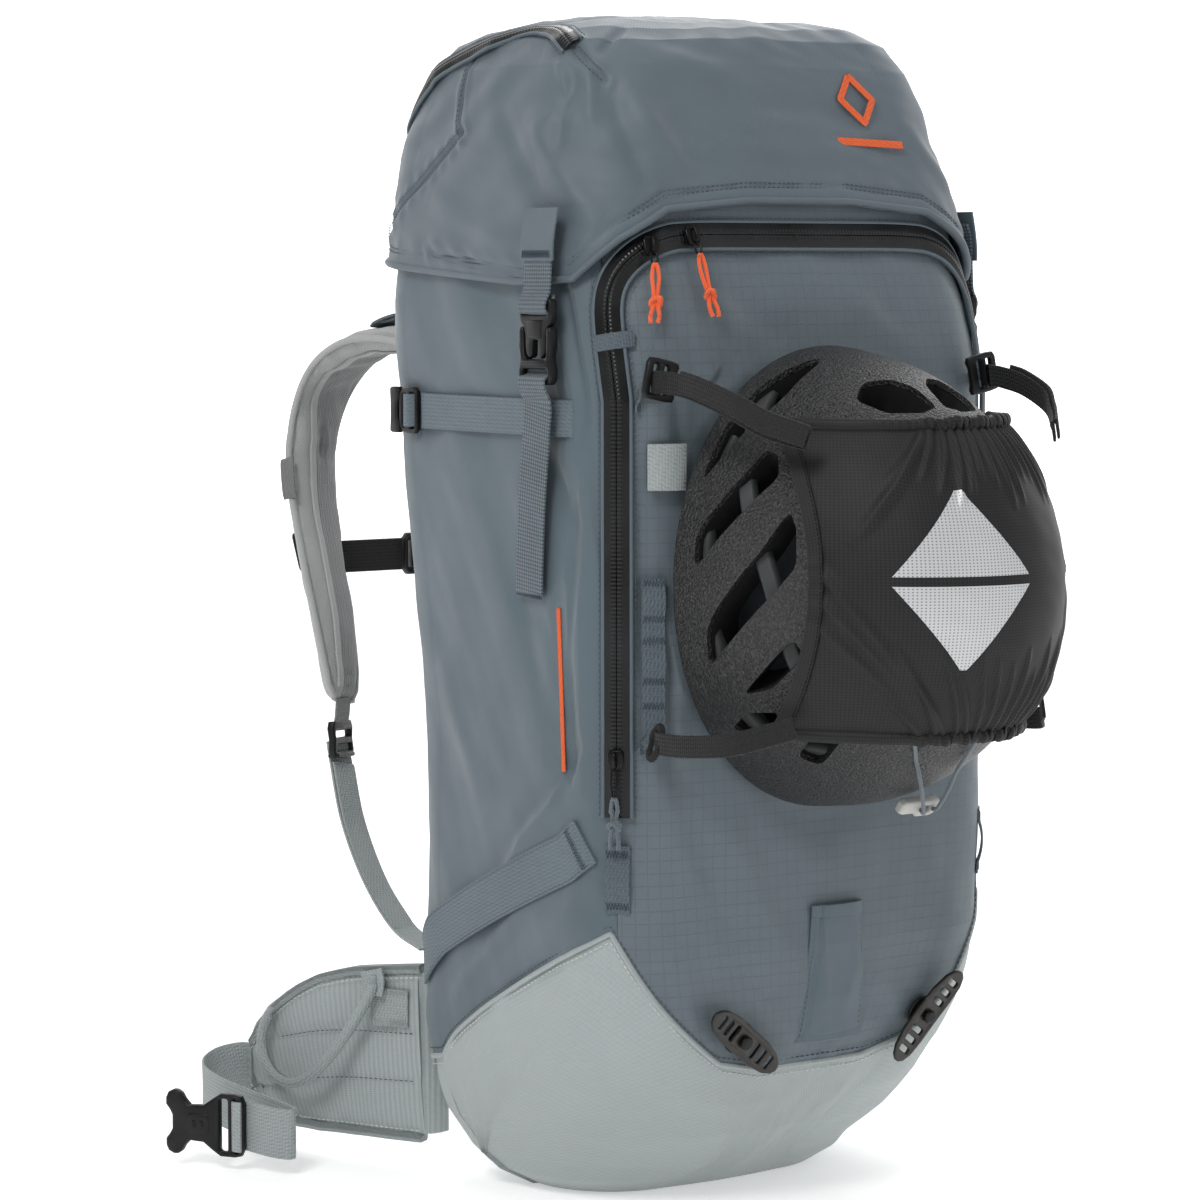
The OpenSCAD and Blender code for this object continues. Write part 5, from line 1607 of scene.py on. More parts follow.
def net_side(b):
    return 64 - 12 * np.maximum(1 - b * b, 0) ** 0.8


def net_folds(a, b):
    """Pulls that fan out from the gathered hems and the four corners."""
    x, y = a * NET_MM_PER_DEG, b * NET_HALF_HIGH
    d = 0.5 * smooth_noise(x, y, 60, 61)
    for i, x0 in enumerate(np.linspace(-22, 62, 15)):
        lean = (x0 - 20) * 0.42
        length = 26 + 16 * math.sin(i * 2.4) ** 2
        d += fold(x, y, (x0, 84), (x0 + lean, 80 - length), 1.9, 2.2)
    for i, x0 in enumerate(np.linspace(-30, 66, 17)):
        lean = (x0 - 18) * 0.75
        length = 30 + 20 * math.sin(i * 1.7) ** 2
        d += fold(x, y, (x0, -84), (x0 + lean, -80 + length), 1.9, 2.6)
    for tip in ((-96, 20), (-94, 2), (-92, -16)):
        d += fold(x, y, (tip[0], tip[1]), (-44, -62 + tip[1] * 0.35), 2.6, 2.4)
    for end in ((-60, 50), (-66, 36), (-74, 22)):
        d += fold(x, y, (-30, 78), end, 2.6, 1.8)
    for end in ((92, 10), (94, -12)):
        d += fold(x, y, end, (50, -66), 3.0, 2.2)
    return d


def net_point(a, b, lift=0.0):
    """The finished net's surface at one pair of net coordinates."""
    p = net_surface(a, b, 4.2)
    e = 0.2
    n = unit(np.cross(net_surface(a + e, b, 4.2) - net_surface(a - e, b, 4.2),
                      net_surface(a, b + e / NET_HALF_HIGH, 4.2)
                      - net_surface(a, b - e / NET_HALF_HIGH, 4.2)))
    return p + n * (np.maximum(net_folds(a, b), -0.9) + lift)[..., None], n


def net():
    ni, nj = 330, 260
    b = np.linspace(-1, 1, nj)[None, :]
    f = np.linspace(-1, 1, ni)[:, None]
    a = f * net_side(b)
    b = b + 0 * f
    p, _ = net_point(a, b)
    cloth = np.stack([a * NET_MM_PER_DEG, b * NET_HALF_HIGH], -1)
    sheet = grid_object("helmet_net_fabric", p, cloth, "net", thickness=0.7)
    ride(sheet, "bag", ["helmet_net"])
    hems = []
    for k, edge in enumerate((1.0, -1.0)):
        n = 420
        f1 = np.linspace(-1, 1, n)
        a1 = f1 * net_side(edge)
        q, out = net_point(a1, np.full(n, edge), 0.4)
        s = lengths(q)
        gather = np.exp(-((f1 - 0.2) / 0.42) ** 2)
        r = 2.9 + gather * 0.9 * np.sin(2 * math.pi * s / 4.3) * (1 + 0.3 * np.sin(s / 7))
        ring = round_profile(1, 12)[None] * r[:, None, None] * (1.25, 0.9)
        hems.append(swept(f"helmet_net_hem_{k}", q, (0, 0, 1), ring, "net"))
        row = dashes(f"helmet_net_hem_stitches_{k}", q + np.array([0, 0, -4.6 * edge]) + out * 1.0, out,
                     2.0, 2.9, 0.3, "black_thread")
        ride(row, "bag")
    for k, s in enumerate((-1, 1)):
        b1 = np.linspace(-1, 1, 200)
        q, out = net_point(s * (net_side(b1) - 1.5), b1, 0.8)
        side = np.cross(out, unit(np.gradient(q, axis=0)))
        hems.append(swept(f"helmet_net_binding_{k}", q, side, web_profile(8.5, 1.4), "net"))
        row = dashes(f"helmet_net_binding_stitches_{k}", q - side * s * -3.0 + out * 0.8, out, 1.8, 2.6, 0.28,
                     "black_thread")
        ride(row, "bag")
    ride(join("helmet_net_binding", hems), "bag")
    corners = {"upper": ((-33, 0.06), (7, 0.06), (-12, 0.60), (-14, 0.60)),
               "lower": ((-14, -0.54), (-12, -0.54), (7, 0.0), (-33, 0.0))}
    for word, quad in corners.items():
        s, t = np.meshgrid(np.linspace(0, 1, 70), np.linspace(0, 1, 70), indexing="ij")
        q = [np.array(c, float) for c in quad]
        m = ((1 - s) * (1 - t))[..., None] * q[0] + (s * (1 - t))[..., None] * q[1] \
            + (s * t)[..., None] * q[2] + ((1 - s) * t)[..., None] * q[3]
        p, _ = net_point(m[..., 0], m[..., 1], 0.45)
        patch = grid_object(f"helmet_net_print_{word}", p, m * (NET_MM_PER_DEG, NET_HALF_HIGH), "reflective")
        ride(patch, "bag")
    return sheet


def about_helmet(obj, nodes=()):
    """Rides a left piece and its copy mirrored about the helmet's middle."""
    right = mirrored(obj, to_right(obj.name))
    turned(right, np.eye(3), (2 * HELMET_AT[0], 0, 0))
    ride(obj, "bag", nodes)
    ride(right, "bag", nodes)


def net_straps():
    side = np.array([0, 0.2, 1.0])
    top = webbing("net_strap_top_left",
                  [(-88, -216, 433), (-96, -207, 436), (-103, -197, 440), (-111, -183, 448),
                   (-115.5, -160, 456), (-116.5, -142, 459.5), (-118, -131, 460.4), (-120.5, -127.5, 460.6),
                   (-120.5, -124, 460.6), (-117, -124.4, 460.4)], side, 12, 1.5, "black_webbing", 110)
    fold_back = webbing("net_strap_fold_left", [(-90, -217, 434.5), (-97, -209, 438), (-104, -199.5, 442),
                                                (-112, -185, 450), (-117, -161, 458), (-118, -146, 461)],
                        side, 12, 1.5, "black_webbing", 70)
    about_helmet(join("net_strap_top_left", [top, fold_back]), ["net_straps"])
    low = webbing("net_strap_low_left",
                  [(-90, -208, 284), (-98, -197.5, 280), (-112, -181, 274), (-119, -155, 271),
                   (-119.5, -135, 270), (-118, -125, 270)], side, 12, 1.5, "black_webbing", 90)
    ring = tube("net_strap_low_ring_left",
                np.array([(-118 + 6.0 * math.sin(t) * 0.5, -124.5 - 4 * math.cos(t),
                           270 + 8.5 * math.sin(t))
                          for t in np.linspace(0, 2 * math.pi, 24, endpoint=False)]), 1.9, "black_webbing",
                n=0, closed=True, side=(1, 0, 0))
    about_helmet(join("net_strap_low_left", [low, ring]), ["net_straps"])
    lock = flat_plate("net_lock_left",
                      [[(-18, -8), (-16.5, -10.6), (-12, -11), (-3, -11), (1.4, -10.4), (2.4, -8),
                        (1.2, -4), (1.2, 4), (2.4, 8), (1.4, 10.4), (-3, 11), (-12, 11), (-16.5, 10.6),
                        (-18, 8)], rounded_rect(3.4, 15.4, 1.0, -12.4, 0),
                       rounded_rect(3.2, 15.4, 1.0, -5.6, 0)], 3.6, 1.1, "plastic")
    ridge = flat_plate("net_lock_ridge", [rounded_rect(2.4, 17, 1, -9.0, 0)], 5.2, 0.9, "plastic")
    a = math.radians(12)
    basis = np.array([[math.cos(a), 0, -math.sin(a)], [0, 1, 0], [math.sin(a), 0, math.cos(a)]])
    piece = turned(join("net_lock_left", [lock, ridge]), basis, (-108, -125.0, 460))
    about_helmet(piece, ["net_locks"])
    for word, u, z, end in (("upper", 1.60, 450, (-121.5, -121.8, 463.2)),
                            ("lower", 1.62, 268, (-120.5, -120.5, 270))):
        start = over(BAG, u, z, 0.6)
        mid = over(BAG, u + 0.03, z + (6 if word == "upper" else 0), 4.5)
        loop = tube(f"net_anchor_{word}_left", [start, mid, np.array(end)], 1.0, "webbing", 40, 10)
        flat = webbing(f"net_anchor_web_{word}_left",
                       [start + (0, 0, -6), start + (-0.3, -0.3, 0), mid, np.array(end)], (0.3, 0.2, 1), 7,
                       1.2, "webbing", 50)
        about_helmet(join(f"net_anchor_{word}_left", [loop, flat]))


net()
net_straps()


def clip_cords():
    """Thin elastic cords that run from under the net's hem to the helmet's rear clip."""
    for k, (a, d) in enumerate(((-22, (1, -6)), (4, (9, -6)))):
        top = net_point(np.array([float(a)]), np.array([-1.0]), -1.5)[0]
        g0 = top[0]
        end = np.array([5 + d[0], -194.5, 232])
        t = np.linspace(0, 1, 20)[:, None]
        line = g0 * (1 - t) + end * t
        r = (line - HELMET_AT) / HELMET_HALF
        push = np.maximum(1.018 / np.linalg.norm(r, axis=1, keepdims=True), 1)
        line = HELMET_AT + (line - HELMET_AT) * push
        line[-1] = end
        line = smooth_path(line, 30)
        cord = tube(f"helmet_cord_{k}", line, 1.15, "slate_cord", n=0, sides=10)
        ride(cord, "bag")


clip_cords()


# ---- Padded pieces ---------------------------------------------------------------------------------------
def pad_profile(width, thick, n=72, power=0.72):
    a = np.linspace(0, 2 * math.pi, n, endpoint=False)
    c, s = np.cos(a), np.sin(a)
    return np.stack([width / 2 * np.sign(c) * abs(c) ** power,
                     thick / 2 * np.sign(s) * abs(s) ** (power + 0.12)], -1)


def along_route(route, values, n):
    """A smooth route, with each station's value interpolated at the same place."""
    route = np.asarray(route, float)
    path = smooth_path(route, n)
    s0 = lengths(route) / lengths(route)[-1]
    s1 = lengths(path) / lengths(path)[-1]
    return path, s1, [np.interp(s1, s0, v) for v in values]


PAD_ROUTE = [(-58, 150, 462), (-60, 176, 474), (-64, 206, 478), (-69, 236, 475), (-75, 262, 462),
             (-81, 278, 440), (-87, 281, 412), (-93, 270, 380), (-98, 252, 345), (-102, 233, 310),
             (-105, 219, 280), (-107, 212, 258)]
PAD_WIDTHS = [46, 52, 57, 61, 62, 62, 62, 61, 59, 56, 46, 34]
PAD_TURN = [0, 4, 10, 16, 22, 28, 33, 36, 38, 38, 36, 34]
FIN_ROUTE = [(-118, 106, 64.5), (-128, 124, 63.5), (-139, 146, 62), (-149, 168, 58.5), (-155, 183, 54.5),
             (-160, 196.5, 50.5), (-164, 207.5, 47), (-167.5, 216.5, 44)]
FIN_HEIGHTS = [103, 101, 98, 92, 83, 71, 55, 32]


def read_points(mesh):
    co = np.empty(len(mesh.vertices) * 3)
    mesh.vertices.foreach_get("co", co)
    return co.reshape(-1, 3)


def write_points(mesh, co):
    mesh.vertices.foreach_set("co", np.ascontiguousarray(co).ravel())
    mesh.update()


def read_cloth(mesh):
    data = np.empty(len(mesh.vertices) * 3)
    mesh.attributes["cloth"].data.foreach_get("vector", data)
    return data.reshape(-1, 3)


def plump(pieces, frames=20, voxel=0.0045, pressure=4.0):
    """Blows padded pieces up together in one short cloth simulation and keeps the puffed meshes."""
    scene = bpy.context.scene
    kept = []
    for obj, cap in pieces:
        before = read_points(obj.data)
        cloth = read_cloth(obj.data)
        slots = list(obj.data.materials)
        owner = np.zeros(len(before), int)
        for poly in obj.data.polygons:
            for v in poly.vertices:
                owner[v] = max(owner[v], poly.material_index)
        remesh = obj.modifiers.new("remesh", "REMESH")
        remesh.mode = "VOXEL"
        remesh.voxel_size = voxel
        apply_modifiers(obj)
        kept.append((obj, cap * MM, before, cloth, slots, owner, read_points(obj.data)))
        sim = obj.modifiers.new("sim", "CLOTH")
        sim.settings.quality = 5
        sim.settings.use_pressure = True
        sim.settings.uniform_pressure_force = pressure
        sim.settings.tension_stiffness = 12
        sim.settings.compression_stiffness = 12
        sim.settings.bending_stiffness = 1.5
        sim.settings.effector_weights.gravity = 0
        sim.collision_settings.use_collision = False
        sim.point_cache.frame_start, sim.point_cache.frame_end = 1, frames
    for f in range(1, frames + 1):
        scene.frame_set(f)
    depsgraph = bpy.context.evaluated_depsgraph_get()
    results = [read_points(entry[0].evaluated_get(depsgraph).data) for entry in kept]
    for (obj, cap, before, cloth, slots, owner, rest), after in zip(kept, results):
        obj.modifiers.clear()
        move = after - rest
        size = np.linalg.norm(move, axis=1, keepdims=True)
        write_points(obj.data, rest + move * np.minimum(1, cap / np.maximum(size, 1e-9)))
        sub = obj.modifiers.new("smooth", "SUBSURF")
        sub.levels = sub.render_levels = 1
        apply_modifiers(obj)
        tree = KDTree(len(before))
        for i, c in enumerate(before):
            tree.insert(c, i)
        tree.balance()
        co = read_points(obj.data)
        spread = np.zeros((len(co), 3))
        side = np.zeros(len(co), int)
        for i, c in enumerate(co):
            near = tree.find_n(c, 3)
            w = np.array([1 / (n[2] + 1e-5) for n in near])
            ids = [n[1] for n in near]
            spread[i] = (cloth[ids] * w[:, None]).sum(0) / w.sum()
            side[i] = owner[ids[0]]
        if "cloth" not in obj.data.attributes:
            obj.data.attributes.new("cloth", "FLOAT_VECTOR", "POINT")
        obj.data.attributes["cloth"].data.foreach_set("vector", spread.ravel())
        obj.data.materials.clear()
        for slot in slots:
            obj.data.materials.append(slot)
        for poly in obj.data.polygons:
            poly.material_index = int(min(side[v] for v in poly.vertices))
        obj.data.shade_smooth()
    scene.frame_set(1)


def pressed(obj, depth):
    """Moves points along their normals by a function of their cloth place, for seams and channels."""
    mesh = obj.data
    normals = np.empty(len(mesh.vertices) * 3)
    mesh.vertices.foreach_get("normal", normals)
    cloth = read_cloth(mesh) / MM
    normals = normals.reshape(-1, 3)
    write_points(mesh, read_points(mesh) + normals * depth(cloth[:, 0], cloth[:, 1], normals)[:, None] * MM)


def pad_frame(n=170):
    path, s, (width, turn) = along_route(PAD_ROUTE, [PAD_WIDTHS, PAD_TURN], n)
    side = np.stack([np.cos(np.radians(turn)), np.sin(np.radians(turn)), 0 * turn], -1)
    tangent = unit(np.gradient(path, axis=0))
    side = unit(side - (side * tangent).sum(-1, keepdims=True) * tangent)
    return path, s, width, side, np.cross(tangent, side)


def shoulder_pad():
    path, s, width, side, _ = pad_frame()
    end = np.clip((1 - s) / 0.03, 0.15, 1) ** 0.5 * np.clip(s / 0.02, 0.3, 1) ** 0.5
    profile = np.stack([pad_profile((w - 4) * (0.6 + 0.4 * e), 12.5 * e) for w, e in zip(width, end)])
    obj = swept("shoulder_pad_left_cushion", path, side, profile, "pad")
    obj.data.materials.append(MAT["pad_inner"])
    k = profile.shape[1]
    for poly in obj.data.polygons:
        cols = [v % k for v in poly.vertices]
        mid = sum(cols) / len(cols)
        poly.material_index = 1 if k * 0.03 < mid < k * 0.31 else 0
    return obj


def fin():
    path, s, (height,) = along_route(FIN_ROUTE, [FIN_HEIGHTS], 150)
    end = np.clip((1 - s) / 0.05, 0.25, 1) ** 0.5
    profile = np.stack([pad_profile(h - 4, 8.5 * e) for h, e in zip(height, end)])
    return swept("hip_fin_left_cushion", path, (0, 0, 1), profile, "belt")


def back_pad(name, u0, u1, z0, z1):
    """A crowned cushion on the back panel."""
    s, t = np.meshgrid(np.linspace(0, 1, 60), np.linspace(0, 1, 90), indexing="ij")
    u, z = u0 + s * (u1 - u0), z0 + t * (z1 - z0)
    edge = ((1 - abs(2 * s - 1) ** 7) * (1 - abs(2 * t - 1) ** 9)) ** 0.5
    outer = at(BAG, u, z, 0.8 + 8.0 * edge)
    inner = at(BAG, u, z, 0.5 + 0 * u)
    full = np.concatenate([outer, inner[::-1]], axis=0)
    flat = np.stack([arc_length(BAG, u), z], -1)
    obj = grid_object(name, full, np.concatenate([flat, flat[::-1]], axis=0), "pad_inner", closed_i=True)
    bm = bmesh.new()
    bm.from_mesh(obj.data)
    bmesh.ops.holes_fill(bm, edges=bm.edges[:], sides=0)
    bmesh.ops.remove_doubles(bm, verts=bm.verts, dist=1e-5)
    bmesh.ops.recalc_face_normals(bm, faces=bm.faces)
    bm.to_mesh(obj.data)
    bm.free()
    return obj


PAD, FIN = shoulder_pad(), fin()
BACK_PADS = [back_pad("back_pad_lumbar", 6.02, 6.98, 78, 150),
             back_pad("back_pad_right", 6.05, 6.42, 175, 440),
             back_pad("back_pad_left", 6.58, 6.95, 175, 440)]
plump([(PAD, 2.6)] + [(p, 3) for p in BACK_PADS])


def pad_press(across, along, normals):
    """Crumples round the bend, a lengthwise dimple and three rib tacks at the lower end."""
    inner = np.clip(1.4 - abs(across) / 26, 0, 1)
    bend = np.exp(-((along - 118) / 62) ** 2)
    d = -1.3 * inner * bend * (0.5 + 0.5
                               * np.sin(along / 4.6 + 0.05 * across + 1.2 * np.sin(along / 17))) ** 2
    d += 0.7 * bend * smooth_noise(across, along, 26, 71, (0.35, 1.0))
    d -= 2.6 * np.exp(-((across + 3) / 4) ** 2 - ((along - 176) / 13) ** 2)
    d += 0.5 * smooth_noise(across, along, 70, 72)
    tack = np.clip(1.2 - abs(across) / 9, 0, 1)
    d -= 1.3 * tack * sum(np.exp(-((along - a) / 1.5) ** 2) for a in (330, 337, 344))
    return d


pressed(PAD, pad_press)
pad_right = mirrored(PAD, "shoulder_pad_right_cushion")
ride(PAD, "bag", ["shoulder_pad_left"])
ride(pad_right, "bag", ["shoulder_pad_right"])


def pad_trim():
    path, s, width, side, out = pad_frame(260)
    parts = []
    for k, sign in enumerate((-1, 1)):
        edge = path + side * (sign * (width / 2 - 1.2) * np.clip((1 - s) / 0.03, 0.45, 1) ** 0.4)[:, None]
        parts.append(swept(f"pad_piping_{k}", edge[2:-2], side[2:-2], round_profile(1.7, 10, 1.2), "pad"))
    tree = BVHTree.FromPolygons([tuple(c) for c in read_points(PAD.data)],
                                [tuple(p.vertices) for p in PAD.data.polygons])
    seam = []
    for q, side_q, out_q, w in zip(path[6:-6], side[6:-6], out[6:-6], width[6:-6]):
        start = (q - side_q * (0.245 * w) + out_q * 30) * MM
        hit = tree.ray_cast(tuple(start), tuple(-out_q))[0]
        seam.append(np.array(hit) / MM + out_q * 0.5 if hit else start / MM - out_q * 22)
    parts.append(swept("pad_seam_band", smooth_path(np.array(seam)[::6], 200),
                       smooth_path(side[6:-6][::6], 200), web_profile(6.5, 1.3), "pad"))
    both(join("shoulder_pad_piping_left", parts), "bag")
    i = int(len(path) * 0.60)
    tab = path[i] - side[i] * (width[i] / 2 + 0.5)
    t = unit(path[i + 2] - path[i])
    loop = webbing("pad_tab_left",
                   [tab - t * 13, tab - t * 8 - side[i] * 1.6, tab + t * 8 - side[i] * 1.8, tab + t * 13],
                   tuple(out[i]), 9, 1.2, "grey_webbing", 30)
    both(loop, "bag")


pad_trim()


def fin_press(across, along, normals):
    outer = (normals[:, 0] < 0.2) * 1.0
    d = 0.6 * smooth_noise(along, across, 50, 81) + 0.3 * smooth_noise(along, across, 18, 82)
    for v0 in (13.0, -15.0):
        g = across - v0 - (along - 60) * 0.02
        d -= outer * (1.9 * np.exp(-(g / 1.6) ** 2) + 0.5 * np.exp(-(g / 6) ** 2)
                      * (0.5 + 0.5 * np.sin(along / 2.4)))
    return d


pressed(FIN, fin_press)
fin_right = mirrored(FIN, "hip_fin_right_cushion")
ride(FIN, "fin_left", ["hip_fin_left"])
ride(fin_right, "fin_right", ["hip_fin_right"])
for p in BACK_PADS:
    pressed(p, lambda a, b, n: 0.4 * smooth_noise(a, b, 40, 91))
    ride(p, "bag", ["back_pads"])


def fin_trim():
    path, s, (height,) = along_route(FIN_ROUTE, [FIN_HEIGHTS], 200)
    tangent = unit(np.gradient(path, axis=0))
    out = np.cross(tangent, np.array([0, 0, 1.0]))
    up = np.array([0, 0, 1.0])
    parts, rows = [], []
    for k, sign in enumerate((-1, 1)):
        edge = path + up * (sign * (height / 2 - 1.5))[:, None]
        parts.append(swept(f"fin_binding_{k}", edge, out, web_profile(10.4, 4.6), "binding"))
        rows.append(dashes(f"fin_binding_stitches_{k}", edge - up * sign * 4.8 - out * 4.9, -out, 2.4, 3.4,
                           0.3, "thread_pale"))
    tip = path[-1]
    cap = [tip + up * z + tangent[-1] * 1.0 for z in np.linspace(-14, 14, 9)]
    parts.append(swept("fin_binding_tip", np.array(cap), out[-1], web_profile(10.4, 3.4), "binding"))
    for v0 in (13.0, -15.0):
        g = path + up * (v0 + (lengths(path) - 60) * 0.02)[:, None] - out * 5.0
        rows.append(dashes(f"fin_channel_{v0:.0f}", g[6:-36], -out[6:-36], 2.4, 3.4, 0.28, "thread"))
    both(join("hip_fin_binding_left", parts), "fin_left")
    both(join("hip_fin_stitches_left", rows), "fin_left")
    root = webbing("fin_root_left",
                   [(-103, 104.6, 64.5), (-110, 103.2, 64.5), (-117.5, 105.6, 64.5), (-122, 113.5, 64)],
                   (0, 0, 1), 96, 3.4, "belt", 40)
    right_root = mirrored(root, "fin_root_right")
    for piece, word, s in ((root, "left", -1), (right_root, "right", 1)):
        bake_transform(piece)
    i = 30
    base = path[i] - out[i] * 5.6
    patch = webbing("fin_patch_left", [base + up * 16, base + up * 26, base + up * 38], tuple(tangent[i]),
                    24, 1.3, "pale_webbing", 30)
    box = [bar_tack(f"fin_patch_tack_{k}", base + up * z - out[i] * 0.5, tangent[i], up, -out[i], 22,
                    "thread_pale") for k, z in enumerate((18, 36))]
    both(join("fin_patch_left", [patch] + box), "fin_left")
    root = [(-138.7 - 1.5, 127.6, 112.5), (-139.6, 126.2, 106), (-141, 125.8, 98)]
    anchor = webbing("gear_anchor_left", root, tuple(tangent[24]), 15, 1.4, "pale_webbing", 24)
    both(anchor, "fin_left")


fin_trim()


# ---- Gear loops, belt webbing and the big buckle ---------------------------------------------------------
GEAR_ROUTE = [(-138.7, 125.6, 109.1), (-141.6, 125.5, 99.9), (-150.6, 132.3, 80.4), (-159.1, 143.1, 61.2),
              (-165.4, 155.7, 47.9), (-169.9, 168.9, 42.0), (-173.6, 183.3, 45.3), (-174.5, 194.4, 56.7),
              (-172.9, 197.2, 69.3), (-168.7, 193.5, 82.7)]
HIP_ROUTE = [(-168.4, 219.2, 43), (-172, 227, 42), (-180, 234, 39), (-190, 233.5, 35), (-197.5, 225, 32),
             (-200, 208, 30), (-200, 190, 28.5), (-198, 170, 27), (-195.5, 148, 25.5), (-194, 130, 24.3),
             (-194.8, 123.5, 24), (-198.5, 121, 24), (-203, 124, 24.3), (-208, 132.5, 25),
             (-213.6, 144.6, 25.8)]


def belt():
    path = smooth_path(GEAR_ROUTE, 220)
    s = lengths(path)
    r = 3.3 * (1 + 0.05 * np.sin(2 * math.pi * s / 2.4)) * np.clip(np.minimum(s, s[-1] - s) / 6, 0.62, 1)
    ring = round_profile(1, 14)[None] * r[:, None, None]
    loop = swept("gear_loop_left_tube", path, (0.3, 0.2, 1), ring, "pale_webbing")
    both(loop, "gear_left", ["gear_loop_left"])
    a = np.radians(124.6)
    basis = np.array([[math.cos(a), math.sin(a), 0], [-math.sin(a), math.cos(a), 0], [0, 0, 1]])
    at_buckle = np.array([-214.4, 146.2, 26])
    x_axis = basis[0]
    n_axis = basis[1]
    start = list(HIP_ROUTE[:-1])
    wrap = [tuple(at_buckle + x_axis * x + n_axis * n) for x,
            n in ((1.5, -3.2), (4.0, -3.4), (6.6, -2.2), (7.6, 0.6), (5.6, 3.4), (1.0, 3.8), (-4, 3.4),
                  (-12, 3.2))]
    web = webbing("hip_webbing_left_strap", start + wrap[:6], (0, 0, 1), 29.5, 1.5, "pale_webbing", 240)
    both(web, "belt_left", ["hip_webbing_left"])
    half = [(0, 13), (2, 17.5), (6, 18.5), (15, 18.5), (20.5, 15), (26, 11), (35, 10.5), (38, 13.6), (40, 17),
            (42.6, 18.8), (45, 19), (48.4, 17.4), (50, 14), (50, 10), (47.6, 7), (46, 4)]
    outline = half + [(x, -y) for x, y in half[::-1]]
    male = flat_plate("hip_buckle_male_body",
                      [outline, rounded_rect(3.6, 31, 1.4, 5.1, 0), rounded_rect(5.4, 31, 1.6, 13, 0)], 6,
                      1.8, "plastic")
    spine = flat_plate("hip_buckle_spine", [rounded_rect(15, 13, 3.5, 29, 0)], 7.4, 1.6, "plastic")
    dots = [flat_plate(f"hip_buckle_dimple_{k}", [rounded_rect(2.6, 4.4, 1.2, x, 0)], 8.2, 0.5, "lacquer")
            for k, x in enumerate((26.5, 31.5))]
    male = turned(join("hip_buckle_male_body", [male, spine] + dots), basis, at_buckle)
    ride(male, "belt_left", ["hip_buckle_male"])
    body = rounded_box("hip_buckle_female_body", (46, 12, 42), 4.5, "plastic", (23, 0, 0))
    cutter = rounded_box("socket_cut", (32, 7.2, 37.2), 1.0, "plastic", (32, 0, 0))
    window = rounded_box("window_cut", (9, 30, 20), 2.0, "plastic", (25, 0, 0))
    for tool in (cutter, window):
        cut = body.modifiers.new("cut", "BOOLEAN")
        cut.operation, cut.solver, cut.object = "DIFFERENCE", "EXACT", tool
    apply_modifiers(body)
    for tool in (cutter, window):
        bpy.data.objects.remove(tool)
    body.data.set_sharp_from_angle(angle=math.radians(40))
    bar = flat_plate("hip_socket_bars",
                     [rounded_rect(13, 40, 3, 2.2, 0), rounded_rect(3.4, 32, 1.2, -0.4, 0)], 5, 1.4,
                     "plastic")
    female = turned(join("hip_buckle_female_body", [body, bar]), basis * np.array([-1, 1, 1]),
                    at_buckle * (-1, 1, 1))
    ride(female, "belt_right", ["hip_buckle_female"])


belt()


# ---- Harness webbing -------------------------------------------------------------------------------------
def harness():
    lifter = webbing("load_lifter_left",
                     [(-60, 138.5, 508), (-60.4, 150, 504), (-61, 170, 499.2), (-66, 208, 489),
                      (-68, 219.4, 487.4)], (1, 0, 0), 18, 1.5, "fine_webbing", 70)
    tab = webbing("load_lifter_tab_left",
                  [(-66.4, 205, 491.6), (-68, 214, 489.4), (-69, 222, 486.6), (-69.4, 225, 484)], (1, 0, 0),
                  20, 1.6, "fine_webbing", 30)
    both(join("load_lifter_left", [lifter, tab]), "bag", ["load_lifters"])
    x = np.linspace(-38, 38, 80)
    haul = swept("haul_loop_strap",
                 smooth_path([(-38, 141.5, 494), (-30, 157, 500), (-14, 166, 504), (14, 166, 504),
                              (30, 157, 500), (38, 141.5, 494)], 110), (0, 0, 1),
                 np.stack([pad_profile(18 - 4 * math.cos(math.pi * v / 76),
                                       3.2 + 1.2 * math.cos(math.pi * v / 76), 36)
                           for v in np.interp(np.arange(110), np.linspace(0, 109, 80), x)]), "webbing")
    ride(haul, "haul", ["haul_loop"])
    side = (math.cos(math.radians(20)), math.sin(math.radians(20)), 0)
    low = [(-108.5, 217, 236), (-108, 214, 224), (-111, 196, 190), (-113, 168, 158), (-112, 138, 134),
           (-108, 112, 124)]
    web = webbing("lower_webbing_left", low, side, 20, 1.4, "pale_webbing", 140)
    second = webbing("lower_webbing_layer_left", [(a + 0.4, b - 2.6, c - 1.6) for a, b, c in low[1:5]],
                     side, 18.5, 1.3, "pale_webbing", 110)
    both(join("lower_webbing_left", [web, second]), "bag", ["lower_webbing"])
    lock = flat_plate("strap_lock_left_body",
                      [[(-14, -10), (-12, -14), (12, -14), (14, -10), (12.6, -3), (14, 4), (12, 8),
                        (-12, 8), (-14, 4), (-12.6, -3)], rounded_rect(20.4, 4.2, 1.3, 0, -8),
                       rounded_rect(20.4, 4.0, 1.3, 0, 0.2)], 4.8, 1.4, "plastic")
    grip = flat_plate("strap_lock_grip", [rounded_rect(24, 2.8, 1.2, 0, -12.6)], 7.4, 1.1, "plastic")
    a, b = math.radians(34), math.radians(-6)
    rz = np.array([[math.cos(a), math.sin(a), 0], [-math.sin(a), math.cos(a), 0], [0, 0, 1]])
    rx = np.array([[1, 0, 0], [0, math.cos(b), math.sin(b)], [0, -math.sin(b), math.cos(b)]])
    lock = turned(join("strap_lock_left_body", [lock, grip]), rz @ rx, (-108, 214, 240))
    both(lock, "lock_left", ["strap_lock_left"])
    hang = webbing("strap_lock_hanger_left",
                   [(-106.6, 212.6, 262), (-107.3, 212.8, 252), (-107.9, 213.6, 246)],
                   (math.cos(a), math.sin(a), 0), 19, 1.5, "grey_webbing", 24)
    both(hang, "bag")


